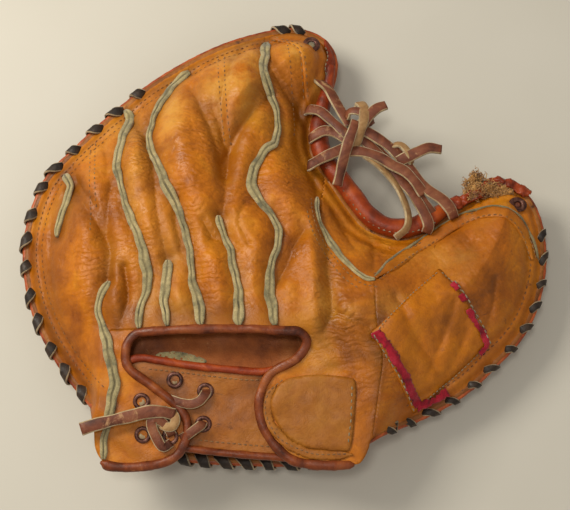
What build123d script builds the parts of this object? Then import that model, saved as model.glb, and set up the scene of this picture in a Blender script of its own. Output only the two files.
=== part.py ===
"""Catcher's mitt for the left hand, lying palm down with its back upwards.

+X points to the thumb, +Y to the fingertips, +Z up from the surface that the palm rests on.
The origin is the middle of the mitt's footprint, on that surface.  Everything is in millimetres.
A finger section and a thumb section meet at the break, a line along Y that the mitt folds about.
"""
from build123d import *
import math
import os

os.makedirs("parts", exist_ok=True)

# leather, padding and trim
LEATHER = 2.5            # main hides
OVERLAY = 1.5            # patches and welts stand this far out of the back
STALL_LINING = 1.2       # thin leather inside the finger and thumb stalls
WELT_WIDTH = 5.0
BINDING_R = 2.2          # rolled binding around the wrist opening
ROLL_R = 5.5             # padded roll along the crotch
LACE_WIDTH = 6.0
LACE_THICK = 1.8

# levels
RIM_LOW = 22.5           # top edge of the palm leather
RIM_HIGH = 25.5          # bottom edge of the back leather, on top of the rim strip
RIM_WIDTH = 6.0
STALL_TOP = 46.0         # ceiling of the hand space
THUMB_STALL_TOP = 42.0
ROLL_Z = 28.0
WEB_Z = 39.0             # underside of the web laces
SKY = 90.0               # above everything
REACH = 200.0            # cutters run this far, past the mitt on every side
FLOOR_CLEARANCE = 10.0   # and this far below it
SLIVER = 500.0           # cubic millimetres: a smaller cut-off is no panel
MEAN_RADIUS = 100.0      # of the sections, for the share of a wall in their size

# the break
HINGE_X = 52.0
HINGE_Z = 36.0
HINGE_GAP = 0.2
CLOSE_HALF_DEG = 18.5    # each side of the break leans back this far below the hinge

# the ball pocket in the palm
POCKET_CENTRE = (12, -22)
POCKET_R = 50.0
POCKET_DEPTH = 15.0

# the heel: flaps and wrist strap lie on a plane that slopes down to the wrist
WRIST_Y = -60.0
WRIST_Z = 54.0
WRIST_SLOPE_DEG = 8.0
WRIST_LEFT = -104.0
WRIST_CUT_Y = -58.5       # the back hide ends here, beside the binding

# outlines at the rim, clockwise; each runs on past the break and is cut there
FINGER_CENTRE = (-30, -10)
FINGER_OUTLINE = [
    (-60, -128), (-84, -119), (-107, -101), (-128, -77), (-144, -49), (-152, -20), (-152, 7),
    (-143, 36), (-126, 56), (-103, 79), (-75, 102), (-42, 121), (-12, 131), (8, 133), (24, 126),
    (31, 112), (28, 94), (22, 80), (17.5, 66), (17, 52), (23, 41), (30, 31), (37, 21), (44, 10),
    (64, -8), (78, -45), (70, -90), (50, -119), (25, -131), (-20, -132),
]
THUMB_CENTRE = (88, -38)
THUMB_OUTLINE = [
    (56, 3), (67, 1), (78, 3), (90, 10), (100, 17), (110, 25), (122, 32), (134, 33), (145, 25),
    (151, 10), (153, -9), (150, -28), (143, -48), (133, -63), (121, -75), (107, -88),
    (92, -98), (76, -106), (62, -112), (48, -118), (26, -105), (15, -70), (20, -30), (36, -5),
]

# size of the outline at each height
FINGER_BACK = [(1.0, RIM_HIGH), (0.97, 33), (0.90, 41), (0.78, 49), (0.60, 55), (0.40, 58)]
THUMB_BACK = [(1.0, RIM_HIGH), (0.96, 33), (0.88, 40), (0.74, 46), (0.55, 49.5), (0.35, 51)]
PALM = [(1.0, RIM_LOW), (0.985, 14), (0.95, 6), (0.89, 1.5), (0.84, 0)]

# welts on the back, from the rim towards the wrist
WELTS = {
    "welt_outer": [(-130, 38), (-126, 30), (-127, 19), (-130, 4), (-131, -3)],
    "welt_little": [(-104, 100), (-93, 73), (-96, 52), (-95, 30), (-88, 7), (-79, -17), (-78, -41),
                    (-82, -66)],
    "welt_ring": [(-56, 124), (-72, 83), (-79, 57), (-73, 37), (-58, 3), (-52, -26), (-46, -66)],
    "welt_short": [(-38, 5), (-31, -15), (-27, -31), (-25, -66)],
    "welt_index": [(-12, 139), (-12, 109), (-5, 66), (-18, 30), (-4, -3), (-9, -31), (-6, -66)],
    "welt_stub": [(-65, -20), (-67, -42), (-65, -66)],
}
GUSSET_WELT = [(32, 50), (19, 32), (19, 10), (26, -6), (34, -20), (45, -30), (60, -33)]
HEEL_WELT = [(-98, -60), (-95, -80), (-95, -98), (-98, -114), (-99, -128)]
SEAM_BAND = [(40, -40), (60, -23), (72, -12), (94, 4), (117, 15), (137, 9), (148, -12), (156, -20)]

INDEX_TIP_PATCH = [
    (-9, 136), (-9, 122), (2, 119), (9, 113), (12, 98), (12, 83), (19, 80), (34, 88), (36, 112),
    (22, 134),
]
INDEX_TIP_BINDING = [(12, 138), (26, 129), (32, 112), (29, 93)]
INDEX_TIP_BINDING_WIDTH = 9.0
INDEX_TIP_EYELET = (15, 119)
THUMB_TIP_EYELET = (135, 19)
THUMB_PATCH = [(88, -22), (117, -64), (75, -101), (54, -64)]
FRAYED_STUFFING = [(106, 24), (107, 33), (112, 42), (116, 36), (121, 37), (122, 30), (110, 22)]
TORN_EDGE = [(122.5, 30), (122, 37), (131, 39), (142, 32), (146, 26), (134, 30)]

LEFT_FLAP = [
    (-104, -59), (-105, -112), (-104, -124), (-100, -130), (-92, -133.5), (-78, -133), (-62, -129),
    (-55, -121), (-54, -111), (-58, -103), (-74, -90), (-86, -81), (-88, -72), (-90, -59),
]
RIGHT_FLAP = [
    (14, -59), (12, -66), (8, -74), (-8, -84), (-14, -98), (-13, -109), (-7, -120), (2, -129),
    (18, -133), (38, -133), (44, -128), (48, -113), (51, -100), (51, -59),
]
RIGHT_FLAP_PATCH = [
    (2, -87), (18, -86), (34, -87), (38, -90), (36, -124), (18, -125), (6, -121), (-3, -112),
    (-7, -102), (-5, -94),
]
WRIST_BINDING = [
    (-94, -133), (-78, -133), (-62, -129), (-55, -121), (-54, -110), (-60, -101), (-74, -90),
    (-86, -81), (-88, -71), (-84, -63), (-74, -61), (8, -61.5), (12, -68), (6, -76), (-8, -84),
    (-14, -97), (-13, -110), (-7, -121), (3, -130),
]
STRAP = [(-98, -76), (-69, -77), (-29, -82), (28, -80), (28, -122), (0, -127), (-28, -126),
         (-60, -122), (-98, -112)]
STRAP_TOP_EDGE = [(-98, -76), (-69, -77), (-29, -82), (28, -80)]
STRAP_BOTTOM_EDGE = [(-98, -112), (-60, -122), (-28, -126), (0, -127), (28, -122)]
FLAP_EYELETS = [(-79, -99), (-78, -117), (-63, -118), (-67, -106)]
STRAP_EYELETS = [(-61, -87), (-44, -93), (-45, -111)]

CROTCH_ROLL_INDEX = [(31, 110), (29, 84), (22.5, 62), (28, 46), (44, 24), (55, 7)]
CROTCH_ROLL_THUMB = [(48, 15), (56, 9.5), (67, 7.5), (79, 10), (90, 17), (101, 25)]

HEEL_PAD_RIGHT = [(14, -58.7), (14, -116), (22, -124), (38, -121), (47, -112), (51, -92), (51, -58.7)]
HEEL_PAD_LEFT = [(-103.8, -58.7), (-103.8, -98), (-98, -106), (-90, -110), (-90, -58.7)]

# the hand space: left, right and far end of each finger's stall
FINGER_STALLS = [(-87, -69, 35), (-66, -48, 62), (-45, -27, 72), (-24, -6, 60)]
KNUCKLE_Y = -20
PALM_SPACE_CENTRE = (-38, -70)
PALM_SPACE = (100, 100)
THUMB_PASSAGE_CENTRE = (32, -41)
THUMB_PASSAGE = (60, 34)
THUMB_STALL = [(40, -58), (40, -24), (52, -24), (104, 6), (126, 8), (132, -8), (122, -20), (80, -46),
               (56, -58)]

WHIP_PITCH = 18.0
WHIP_SIZE = (7.0, 1.5, 11.0)
WHIP_SLANT_DEG = 25.0
WHIP_CLEARANCE = 0.1     # from the rim strip

EYELET_FLANGE_R = 4.6
EYELET_BARREL_R = 2.9
EYELET_HOLE_R = 2.3
EYELET_FLANGE = 0.8


def scaled(outline, centre, factor):
    """The outline drawn larger or smaller about a centre."""
    cx, cy = centre
    return [(cx + (x - cx) * factor, cy + (y - cy) * factor) for x, y in outline]


def inset(outline, distance):
    """A clockwise outline moved inwards; a negative distance moves it outwards."""
    moved = []
    for i, (x, y) in enumerate(outline):
        x0, y0 = outline[i - 1]
        x1, y1 = outline[(i + 1) % len(outline)]
        run = math.hypot(x1 - x0, y1 - y0)
        moved.append((x + (y1 - y0) / run * distance, y - (x1 - x0) / run * distance))
    return moved


def dome(outline, centre, levels, wall=0.0):
    """A faceted solid lofted through the outline at each level, smaller all round by the wall."""
    rim = levels[0][1]
    inwards = 1 if levels[-1][1] < rim else -1
    shrink = wall / MEAN_RADIUS
    with BuildPart() as solid:
        for factor, height in levels:
            z = rim if height == rim else height + inwards * wall
            with BuildSketch(Plane.XY.offset(z)):
                with BuildLine():
                    Polyline(*scaled(outline, centre, factor - shrink), close=True)
                make_face()
        loft(ruled=True)
    return solid.part


def slab(outline, plane, thickness):
    """A flat plate with the outline, standing on the plane."""
    with BuildPart() as solid:
        with BuildSketch(plane):
            with BuildLine():
                Polyline(*outline, close=True)
            make_face()
        extrude(amount=thickness)
    return solid.part


def strip(path, width, plane, thickness):
    """A strap of constant width along a path on the plane, with mitred corners."""
    left, right = [], []
    for i, (x, y) in enumerate(path):
        x0, y0 = path[max(i - 1, 0)]
        x1, y1 = path[min(i + 1, len(path) - 1)]
        run = math.hypot(x1 - x0, y1 - y0)
        across = (-(y1 - y0) / run * width / 2, (x1 - x0) / run * width / 2)
        left.append((x + across[0], y + across[1]))
        right.append((x - across[0], y - across[1]))
    return slab(left + right[::-1], plane, thickness)


def tube(path, radius, bend, plane):
    """A round roll along a path on the plane, with its corners rounded."""
    with BuildPart() as solid:
        with BuildLine(plane) as centreline:
            FilletPolyline(*path, radius=bend)
        with BuildSketch(Plane(origin=centreline.line @ 0, z_dir=centreline.line % 0)):
            Circle(radius)
        sweep()
    return solid.part


def on_slope(points):
    """Points given in plan, on the wrist plane."""
    return [(x, (y - WRIST_Y) / math.cos(math.radians(WRIST_SLOPE_DEG))) for x, y in points]


slope = math.radians(WRIST_SLOPE_DEG)
WRIST_PLANE = Plane(
    origin=(0, WRIST_Y, WRIST_Z), x_dir=(1, 0, 0), z_dir=(0, -math.sin(slope), math.cos(slope))
)
RIM_PLANE = Plane.XY.offset(RIM_HIGH)

# ---- cutters ------------------------------------------------------------------------------
lean = math.tan(math.radians(CLOSE_HALF_DEG))
foot = (HINGE_Z + FLOOR_CLEARANCE) * lean
with BuildPart() as finger_side:
    with BuildSketch(Plane.XZ.offset(-REACH)):
        with BuildLine():
            Polyline(
                (-REACH, -FLOOR_CLEARANCE), (HINGE_X - HINGE_GAP - foot, -FLOOR_CLEARANCE),
                (HINGE_X - HINGE_GAP, HINGE_Z), (HINGE_X - HINGE_GAP, SKY), (-REACH, SKY), close=True,
            )
        make_face()
    extrude(amount=2 * REACH)

with BuildPart() as thumb_side:
    with BuildSketch(Plane.XZ.offset(-REACH)):
        with BuildLine():
            Polyline(
                (REACH, -FLOOR_CLEARANCE), (HINGE_X + HINGE_GAP + foot, -FLOOR_CLEARANCE),
                (HINGE_X + HINGE_GAP, HINGE_Z), (HINGE_X + HINGE_GAP, SKY), (REACH, SKY), close=True,
            )
        make_face()
    extrude(amount=2 * REACH)

with BuildPart() as finger_prism:
    add(slab(FINGER_OUTLINE, Plane.XY, SKY))
    add(finger_side.part, mode=Mode.INTERSECT)

with BuildPart() as thumb_prism:
    add(slab(THUMB_OUTLINE, Plane.XY, SKY))
    add(thumb_side.part, mode=Mode.INTERSECT)

with BuildPart() as heel_cut:
    with BuildSketch(Plane.XY.offset(RIM_HIGH)):
        with Locations((WRIST_LEFT, WRIST_CUT_Y)):
            Rectangle(REACH, REACH, align=(Align.MIN, Align.MAX))
    extrude(amount=SKY)

pocket_sphere = (POCKET_R**2 + POCKET_DEPTH**2) / (2 * POCKET_DEPTH)
pocket_at = (*POCKET_CENTRE, POCKET_DEPTH - pocket_sphere)
with BuildPart() as ball_pocket:
    with Locations(pocket_at):
        Sphere(pocket_sphere)
with BuildPart() as ball_pocket_lining:
    with Locations(pocket_at):
        Sphere(pocket_sphere + LEATHER)

# ---- solids that the pieces are cut from ---------------------------------------------------
finger_back_skin = dome(FINGER_OUTLINE, FINGER_CENTRE, FINGER_BACK)
finger_back_core = dome(FINGER_OUTLINE, FINGER_CENTRE, FINGER_BACK, LEATHER)
finger_overlay = dome(FINGER_OUTLINE, FINGER_CENTRE, FINGER_BACK, -OVERLAY)
finger_palm_skin = dome(FINGER_OUTLINE, FINGER_CENTRE, PALM)
finger_palm_core = dome(FINGER_OUTLINE, FINGER_CENTRE, PALM, LEATHER)
thumb_back_skin = dome(THUMB_OUTLINE, THUMB_CENTRE, THUMB_BACK)
thumb_back_core = dome(THUMB_OUTLINE, THUMB_CENTRE, THUMB_BACK, LEATHER)
thumb_overlay = dome(THUMB_OUTLINE, THUMB_CENTRE, THUMB_BACK, -OVERLAY)
thumb_palm_skin = dome(THUMB_OUTLINE, THUMB_CENTRE, PALM)
thumb_palm_core = dome(THUMB_OUTLINE, THUMB_CENTRE, PALM, LEATHER)

welt_strips = {name: strip(path, WELT_WIDTH, RIM_PLANE, SKY) for name, path in WELTS.items()}
gusset_strip = strip(GUSSET_WELT, WELT_WIDTH, RIM_PLANE, SKY)
band_strip = strip(SEAM_BAND, WELT_WIDTH, RIM_PLANE, SKY)

pieces = {}


def keep(name, builder):
    """Name a finished piece and put it with the others."""
    builder.part.label = name
    pieces[name] = builder.part


# ---- palm side ----------------------------------------------------------------------------
HEEL_SPLIT_Y = -85
with BuildPart() as palm_padding:
    add(finger_palm_core)
    add(ball_pocket_lining.part, mode=Mode.SUBTRACT)
    add(finger_side.part, mode=Mode.INTERSECT)

with BuildPart() as palm_leather:
    add(finger_palm_skin)
    add(finger_palm_core - ball_pocket_lining.part, mode=Mode.SUBTRACT)
    add(ball_pocket.part, mode=Mode.SUBTRACT)
    add(finger_side.part, mode=Mode.INTERSECT)
keep("palm_leather", palm_leather)

heel_plane = Plane.XZ.offset(-HEEL_SPLIT_Y)
with BuildPart() as palm_pad:
    add(palm_padding.part)
    split(bisect_by=heel_plane, keep=Keep.BOTTOM)
keep("palm_pad", palm_pad)

with BuildPart() as heel_pad:
    add(palm_padding.part)
    split(bisect_by=heel_plane, keep=Keep.TOP)
keep("heel_pad", heel_pad)

with BuildPart() as thumb_palm_pad:
    add(thumb_palm_core)
    add(ball_pocket_lining.part, mode=Mode.SUBTRACT)
    add(thumb_side.part, mode=Mode.INTERSECT)
keep("thumb_palm_pad", thumb_palm_pad)

with BuildPart() as thumb_palm_leather:
    add(thumb_palm_skin)
    add(thumb_palm_core - ball_pocket_lining.part, mode=Mode.SUBTRACT)
    add(ball_pocket.part, mode=Mode.SUBTRACT)
    add(thumb_side.part, mode=Mode.INTERSECT)
keep("thumb_palm_leather", thumb_palm_leather)

# ---- rim strips and linings, between the palm and the back ---------------------------------
RIM_DEPTH = RIM_HIGH - RIM_LOW
LOW_PLANE = Plane.XY.offset(RIM_LOW)
for section, outline, side in (
    ("", FINGER_OUTLINE, finger_side),
    ("thumb_", THUMB_OUTLINE, thumb_side),
):
    lining_outline = inset(outline, RIM_WIDTH)
    with BuildPart() as lining:
        add(slab(lining_outline, LOW_PLANE, RIM_DEPTH))
        add(side.part, mode=Mode.INTERSECT)
    keep(section + ("lining" if section else "hand_lining"), lining)
    with BuildPart() as rim_strip:
        add(slab(outline, LOW_PLANE, RIM_DEPTH))
        add(slab(lining_outline, LOW_PLANE, RIM_DEPTH), mode=Mode.SUBTRACT)
        add(side.part, mode=Mode.INTERSECT)
    keep(section + "rim_strip", rim_strip)

# ---- back of the finger section -----------------------------------------------------------
with BuildPart() as index_eyelet_hole:
    with Locations((*INDEX_TIP_EYELET, RIM_HIGH)):
        Cylinder(EYELET_FLANGE_R, SKY, align=(Align.CENTER, Align.CENTER, Align.MIN))

with BuildPart() as finger_back_leather:
    add(finger_back_skin)
    add(finger_back_core, mode=Mode.SUBTRACT)
    for welt_strip in welt_strips.values():
        add(welt_strip, mode=Mode.SUBTRACT)
    add(gusset_strip, mode=Mode.SUBTRACT)
    add(heel_cut.part, mode=Mode.SUBTRACT)
    add(index_eyelet_hole.part, mode=Mode.SUBTRACT)
    add(finger_side.part, mode=Mode.INTERSECT)

PANEL_NAMES = ["back_panel_outer", "back_panel_ring", "back_panel_middle", "back_panel_index",
               "crotch_gusset_index"]
panels = finger_back_leather.part.solids().filter_by(lambda solid: solid.volume > SLIVER)
for name, solid in zip(PANEL_NAMES, panels.sort_by(Axis.X), strict=True):
    with BuildPart() as panel:
        add(solid)
    keep(name, panel)

with BuildPart() as finger_back_band:
    add(finger_overlay)
    add(finger_back_core, mode=Mode.SUBTRACT)
    add(heel_cut.part, mode=Mode.SUBTRACT)
    add(finger_prism.part, mode=Mode.INTERSECT)

for name, welt_strip in (*welt_strips.items(), ("gusset_welt", gusset_strip)):
    with BuildPart() as welt:
        add(finger_back_band.part)
        add(welt_strip, mode=Mode.INTERSECT)
    keep(name, welt)

with BuildPart() as index_tip_patch:
    add(finger_overlay)
    add(finger_back_skin, mode=Mode.SUBTRACT)
    add(slab(INDEX_TIP_PATCH, RIM_PLANE, SKY), mode=Mode.INTERSECT)
    add(finger_prism.part, mode=Mode.INTERSECT)
    add(strip(INDEX_TIP_BINDING, INDEX_TIP_BINDING_WIDTH, RIM_PLANE, SKY), mode=Mode.SUBTRACT)
    add(welt_strips["welt_index"], mode=Mode.SUBTRACT)
    add(index_eyelet_hole.part, mode=Mode.SUBTRACT)
keep("index_tip_patch", index_tip_patch)

with BuildPart() as index_tip_binding:
    add(finger_overlay)
    add(finger_back_skin, mode=Mode.SUBTRACT)
    add(strip(INDEX_TIP_BINDING, INDEX_TIP_BINDING_WIDTH, RIM_PLANE, SKY), mode=Mode.INTERSECT)
    add(finger_prism.part, mode=Mode.INTERSECT)
keep("index_tip_binding", index_tip_binding)

# the padding above the hand, with the hand space cut into it
with BuildPart() as finger_back_pad:
    add(finger_back_core)
    with Locations((*PALM_SPACE_CENTRE, RIM_HIGH)):
        Box(*PALM_SPACE, STALL_TOP - RIM_HIGH, align=(Align.CENTER, Align.CENTER, Align.MIN),
            mode=Mode.SUBTRACT)
    for left, right, tip in FINGER_STALLS:
        with Locations(((left + right) / 2, KNUCKLE_Y, RIM_HIGH)):
            Box(right - left, tip - KNUCKLE_Y, STALL_TOP - RIM_HIGH,
                align=(Align.CENTER, Align.MIN, Align.MIN), mode=Mode.SUBTRACT)
    with Locations((*THUMB_PASSAGE_CENTRE, RIM_HIGH)):
        Box(*THUMB_PASSAGE, THUMB_STALL_TOP - RIM_HIGH, align=(Align.CENTER, Align.CENTER, Align.MIN),
            mode=Mode.SUBTRACT)
    add(heel_cut.part, mode=Mode.SUBTRACT)
    add(index_eyelet_hole.part, mode=Mode.SUBTRACT)
    add(finger_side.part, mode=Mode.INTERSECT)
keep("finger_back_pad", finger_back_pad)

with BuildPart() as finger_stall_linings:
    for left, right, tip in FINGER_STALLS:
        width = right - left
        with Locations(((left + right) / 2, KNUCKLE_Y, RIM_HIGH)):
            Box(width, tip - KNUCKLE_Y, STALL_TOP - RIM_HIGH,
                align=(Align.CENTER, Align.MIN, Align.MIN))
            Box(width - 2 * STALL_LINING, tip - KNUCKLE_Y - STALL_LINING,
                STALL_TOP - RIM_HIGH - STALL_LINING,
                align=(Align.CENTER, Align.MIN, Align.MIN), mode=Mode.SUBTRACT)
keep("finger_stall_linings", finger_stall_linings)

# ---- back of the thumb section ------------------------------------------------------------
with BuildPart() as thumb_eyelet_hole:
    with Locations((*THUMB_TIP_EYELET, RIM_HIGH)):
        Cylinder(EYELET_FLANGE_R, SKY, align=(Align.CENTER, Align.CENTER, Align.MIN))

with BuildPart() as thumb_back_leather:
    add(thumb_back_skin)
    add(thumb_back_core, mode=Mode.SUBTRACT)
    add(band_strip, mode=Mode.SUBTRACT)
    add(thumb_eyelet_hole.part, mode=Mode.SUBTRACT)
    add(thumb_side.part, mode=Mode.INTERSECT)

thumb_panels = thumb_back_leather.part.solids().filter_by(lambda solid: solid.volume > SLIVER)
for name, solid in zip(["thumb_back_panel", "crotch_gusset"], thumb_panels.sort_by(Axis.Y), strict=True):
    with BuildPart() as panel:
        add(solid)
    keep(name, panel)

with BuildPart() as thumb_seam_band:
    add(thumb_overlay)
    add(thumb_back_core, mode=Mode.SUBTRACT)
    add(band_strip, mode=Mode.INTERSECT)
    add(thumb_prism.part, mode=Mode.INTERSECT)
keep("thumb_seam_band", thumb_seam_band)

PATCH_EDGE_WIDTH = 4.0
patch_prism = slab(THUMB_PATCH, RIM_PLANE, SKY)
with BuildPart() as patch_middle:
    with BuildSketch(RIM_PLANE):
        with BuildLine():
            Polyline(*THUMB_PATCH, close=True)
        make_face()
        offset(amount=-PATCH_EDGE_WIDTH)
    extrude(amount=SKY)

with BuildPart() as thumb_patch:
    add(thumb_overlay)
    add(thumb_back_skin, mode=Mode.SUBTRACT)
    add(patch_middle.part, mode=Mode.INTERSECT)
keep("thumb_patch", thumb_patch)

with BuildPart() as thumb_patch_edging:
    add(thumb_overlay)
    add(thumb_back_skin, mode=Mode.SUBTRACT)
    add(patch_prism, mode=Mode.INTERSECT)
    add(patch_middle.part, mode=Mode.SUBTRACT)
    add(thumb_side.part, mode=Mode.INTERSECT)
keep("thumb_patch_edging", thumb_patch_edging)

with BuildPart() as thumb_stall_void:
    with BuildSketch(RIM_PLANE):
        with BuildLine():
            Polyline(*THUMB_STALL, close=True)
        make_face()
    extrude(amount=THUMB_STALL_TOP - RIM_HIGH)

with BuildPart() as thumb_stall_inner:
    with BuildSketch(RIM_PLANE):
        with BuildLine():
            Polyline(*THUMB_STALL, close=True)
        make_face()
        offset(amount=-STALL_LINING)
    extrude(amount=THUMB_STALL_TOP - RIM_HIGH - STALL_LINING)

with BuildPart() as thumb_back_pad:
    add(thumb_back_core)
    add(thumb_stall_void.part, mode=Mode.SUBTRACT)
    add(thumb_eyelet_hole.part, mode=Mode.SUBTRACT)
    add(thumb_side.part, mode=Mode.INTERSECT)
keep("thumb_back_pad", thumb_back_pad)

with BuildPart() as thumb_stall_lining:
    add(thumb_stall_void.part)
    add(thumb_stall_inner.part, mode=Mode.SUBTRACT)
    add(thumb_side.part, mode=Mode.INTERSECT)
keep("thumb_stall_lining", thumb_stall_lining)

FRAY_HEIGHT = 8.0
for name, outline in (("frayed_stuffing", FRAYED_STUFFING), ("thumb_torn_edge", TORN_EDGE)):
    with BuildPart() as torn:
        add(slab(outline, LOW_PLANE, FRAY_HEIGHT))
        add(slab(THUMB_OUTLINE, LOW_PLANE, FRAY_HEIGHT), mode=Mode.SUBTRACT)
    keep(name, torn)

# ---- crotch roll --------------------------------------------------------------------------
ROLL_BEND = 14
ROLL_PLANE = Plane.XY.offset(ROLL_Z)
for name, path, side, outline, overlay in (
    ("crotch_roll_index", CROTCH_ROLL_INDEX, finger_side, FINGER_OUTLINE, finger_overlay),
    ("crotch_roll_thumb", CROTCH_ROLL_THUMB, thumb_side, THUMB_OUTLINE, thumb_overlay),
):
    with BuildPart() as roll:
        add(tube(path, ROLL_R, ROLL_BEND, ROLL_PLANE))
        add(slab(outline, Plane.XY, SKY), mode=Mode.SUBTRACT)
        add(overlay, mode=Mode.SUBTRACT)
        add(side.part, mode=Mode.INTERSECT)
    keep(name, roll)

# ---- wrist: padding, flaps, strap, binding -------------------------------------------------
STRAP_THICK = 2.5
STRAP_DROP = 3.0         # underside of the strap below the flaps
PAD_DROP = 3.2
with BuildPart() as below_strap:
    with BuildSketch(WRIST_PLANE.offset(-PAD_DROP)):
        Rectangle(2 * REACH, 2 * REACH)
    extrude(amount=-SKY)

for name, outline in (("heel_block_left", HEEL_PAD_LEFT), ("heel_block_right", HEEL_PAD_RIGHT)):
    with BuildPart() as block:
        add(slab(outline, RIM_PLANE, SKY))
        add(below_strap.part, mode=Mode.INTERSECT)
        add(finger_side.part, mode=Mode.INTERSECT)
    keep(name, block)

BINDING_BEND = 5.5
binding_plane = WRIST_PLANE.offset(LEATHER / 2)
binding_route = on_slope(WRIST_BINDING)
wrist_binding_roll = tube(binding_route, BINDING_R, BINDING_BEND, binding_plane)
with BuildPart() as wrist_binding:
    add(wrist_binding_roll)
keep("wrist_binding", wrist_binding)

for name, outline in (("heel_flap_left", LEFT_FLAP), ("heel_flap_right", RIGHT_FLAP)):
    with BuildPart() as flap:
        add(slab(on_slope(outline), WRIST_PLANE, LEATHER))
        add(tube(binding_route, BINDING_R + 0.05, BINDING_BEND, binding_plane), mode=Mode.SUBTRACT)
        if name == "heel_flap_left":
            with BuildSketch(WRIST_PLANE):
                with Locations(*on_slope(FLAP_EYELETS)):
                    Circle(EYELET_BARREL_R)
            extrude(amount=LEATHER, mode=Mode.SUBTRACT)
            add(strip(on_slope(HEEL_WELT), WELT_WIDTH, WRIST_PLANE, LEATHER), mode=Mode.SUBTRACT)
    keep(name, flap)

with BuildPart() as heel_welt:
    add(strip(on_slope(HEEL_WELT), WELT_WIDTH, WRIST_PLANE, LEATHER + OVERLAY))
keep("heel_welt", heel_welt)

with BuildPart() as heel_flap_patch:
    add(slab(on_slope(RIGHT_FLAP_PATCH), WRIST_PLANE.offset(LEATHER), OVERLAY))
keep("heel_flap_patch", heel_flap_patch)

strap_plane = WRIST_PLANE.offset(-STRAP_DROP)
STRAP_BINDING_WIDTH = 4.5
for name, edge in (("strap_top_binding", STRAP_TOP_EDGE), ("strap_bottom_binding", STRAP_BOTTOM_EDGE)):
    with BuildPart() as strap_binding:
        add(strip(on_slope(edge), STRAP_BINDING_WIDTH, strap_plane, STRAP_THICK))
        add(wrist_binding_roll, mode=Mode.SUBTRACT)
    keep(name, strap_binding)

with BuildPart() as wrist_strap:
    add(slab(on_slope(STRAP), strap_plane, STRAP_THICK))
    for edge in (STRAP_TOP_EDGE, STRAP_BOTTOM_EDGE):
        add(strip(on_slope(edge), STRAP_BINDING_WIDTH, strap_plane, STRAP_THICK), mode=Mode.SUBTRACT)
    with BuildSketch(strap_plane):
        with Locations(*on_slope(STRAP_EYELETS)):
            Circle(EYELET_BARREL_R)
    extrude(amount=STRAP_THICK, mode=Mode.SUBTRACT)
    add(tube(binding_route, BINDING_R + 0.05, BINDING_BEND, binding_plane), mode=Mode.SUBTRACT)
keep("wrist_strap", wrist_strap)

# ---- eyelets: a barrel through the leather under a flange ----------------------------------
for name, plane, places, thickness in (
    ("flap_eyelets", WRIST_PLANE, FLAP_EYELETS, LEATHER),
    ("strap_eyelets", strap_plane, STRAP_EYELETS, STRAP_THICK),
):
    with BuildPart() as eyelets:
        with BuildSketch(plane):
            with Locations(*on_slope(places)):
                Circle(EYELET_BARREL_R)
                Circle(EYELET_HOLE_R, mode=Mode.SUBTRACT)
        extrude(amount=thickness)
        with BuildSketch(plane.offset(thickness)):
            with Locations(*on_slope(places)):
                Circle(EYELET_FLANGE_R)
                Circle(EYELET_HOLE_R, mode=Mode.SUBTRACT)
        extrude(amount=EYELET_FLANGE)
    keep(name, eyelets)

TIP_EYELET_TOP = {"index_tip_eyelet": (INDEX_TIP_EYELET, 42.5), "thumb_tip_eyelet": (THUMB_TIP_EYELET, 40)}
TIP_EYELET_DEPTH = 12.0
for name, (place, top) in TIP_EYELET_TOP.items():
    with BuildPart() as eyelet:
        with BuildSketch(Plane.XY.offset(top)):
            with Locations(place):
                Circle(EYELET_FLANGE_R)
                Circle(EYELET_HOLE_R, mode=Mode.SUBTRACT)
        extrude(amount=-TIP_EYELET_DEPTH)
    keep(name, eyelet)

# ---- laces --------------------------------------------------------------------------------
LACE_LIFT = LEATHER + 1.2        # clear of the eyelets and the binding
TAIL_WIDTH = 7.0
TAIL_LIFT = LACE_LIFT + 2
WRIST_LACE = [
    [(-44, -92), (-52, -100), (-63, -104)],
    [(-45, -112), (-54, -112.5), (-64, -113.5)],
    [(-76, -103), (-73, -112), (-70, -122)],
]
with BuildPart() as wrist_lace:
    for run in WRIST_LACE:
        add(strip(on_slope(run), LACE_WIDTH, WRIST_PLANE.offset(LACE_LIFT), LACE_THICK))
keep("wrist_lace", wrist_lace)

WRIST_LACE_TAIL = [(-62, -106), (-79, -106), (-94, -109), (-110, -113)]
with BuildPart() as wrist_lace_tail:
    add(strip(on_slope(WRIST_LACE_TAIL), TAIL_WIDTH, WRIST_PLANE.offset(TAIL_LIFT), LACE_THICK))
keep("wrist_lace_tail", wrist_lace_tail)

KNOT_HEIGHT = 9.0
WEB_KNOT = [(37, 60), (36, 74), (41, 78), (47, 74), (48, 62), (44, 58)]
with BuildPart() as web_knot:
    add(slab(WEB_KNOT, Plane.XY.offset(WEB_Z - 2), KNOT_HEIGHT))
keep("web_knot", web_knot)

WEB_LACES = {
    "web_lace_index": [
        (0, [(30, 95), (32, 88), (37, 79.5)]),
        (2, [(26.5, 75), (30, 73), (35, 71)]),
        (0, [(26, 59), (30, 61), (35, 63)]),
        (2, [(30, 48), (33, 52), (37, 57)]),
    ],
    "web_lace_thumb": [
        (0, [(49, 63), (60, 57), (75, 42), (90, 24)]),
        (2, [(48.5, 58), (61, 43), (72, 28), (82, 13)]),
        (4, [(58, 61), (75, 46), (88, 32), (96, 23)]),
    ],
    "web_lace_tails": [
        (3, [(48.5, 72), (54, 75.5), (60, 76)]),
        (4, [(38, 55), (34, 44), (31, 32)]),
        (8, [(53, 50), (61, 36), (69, 20), (70, 6)]),
    ],
}
for name, strands in WEB_LACES.items():
    with BuildPart() as web_lace:
        for rise, run in strands:
            add(strip(run, LACE_WIDTH - 1, Plane.XY.offset(WEB_Z + rise), LACE_THICK))
    keep(name, web_lace)


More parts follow.
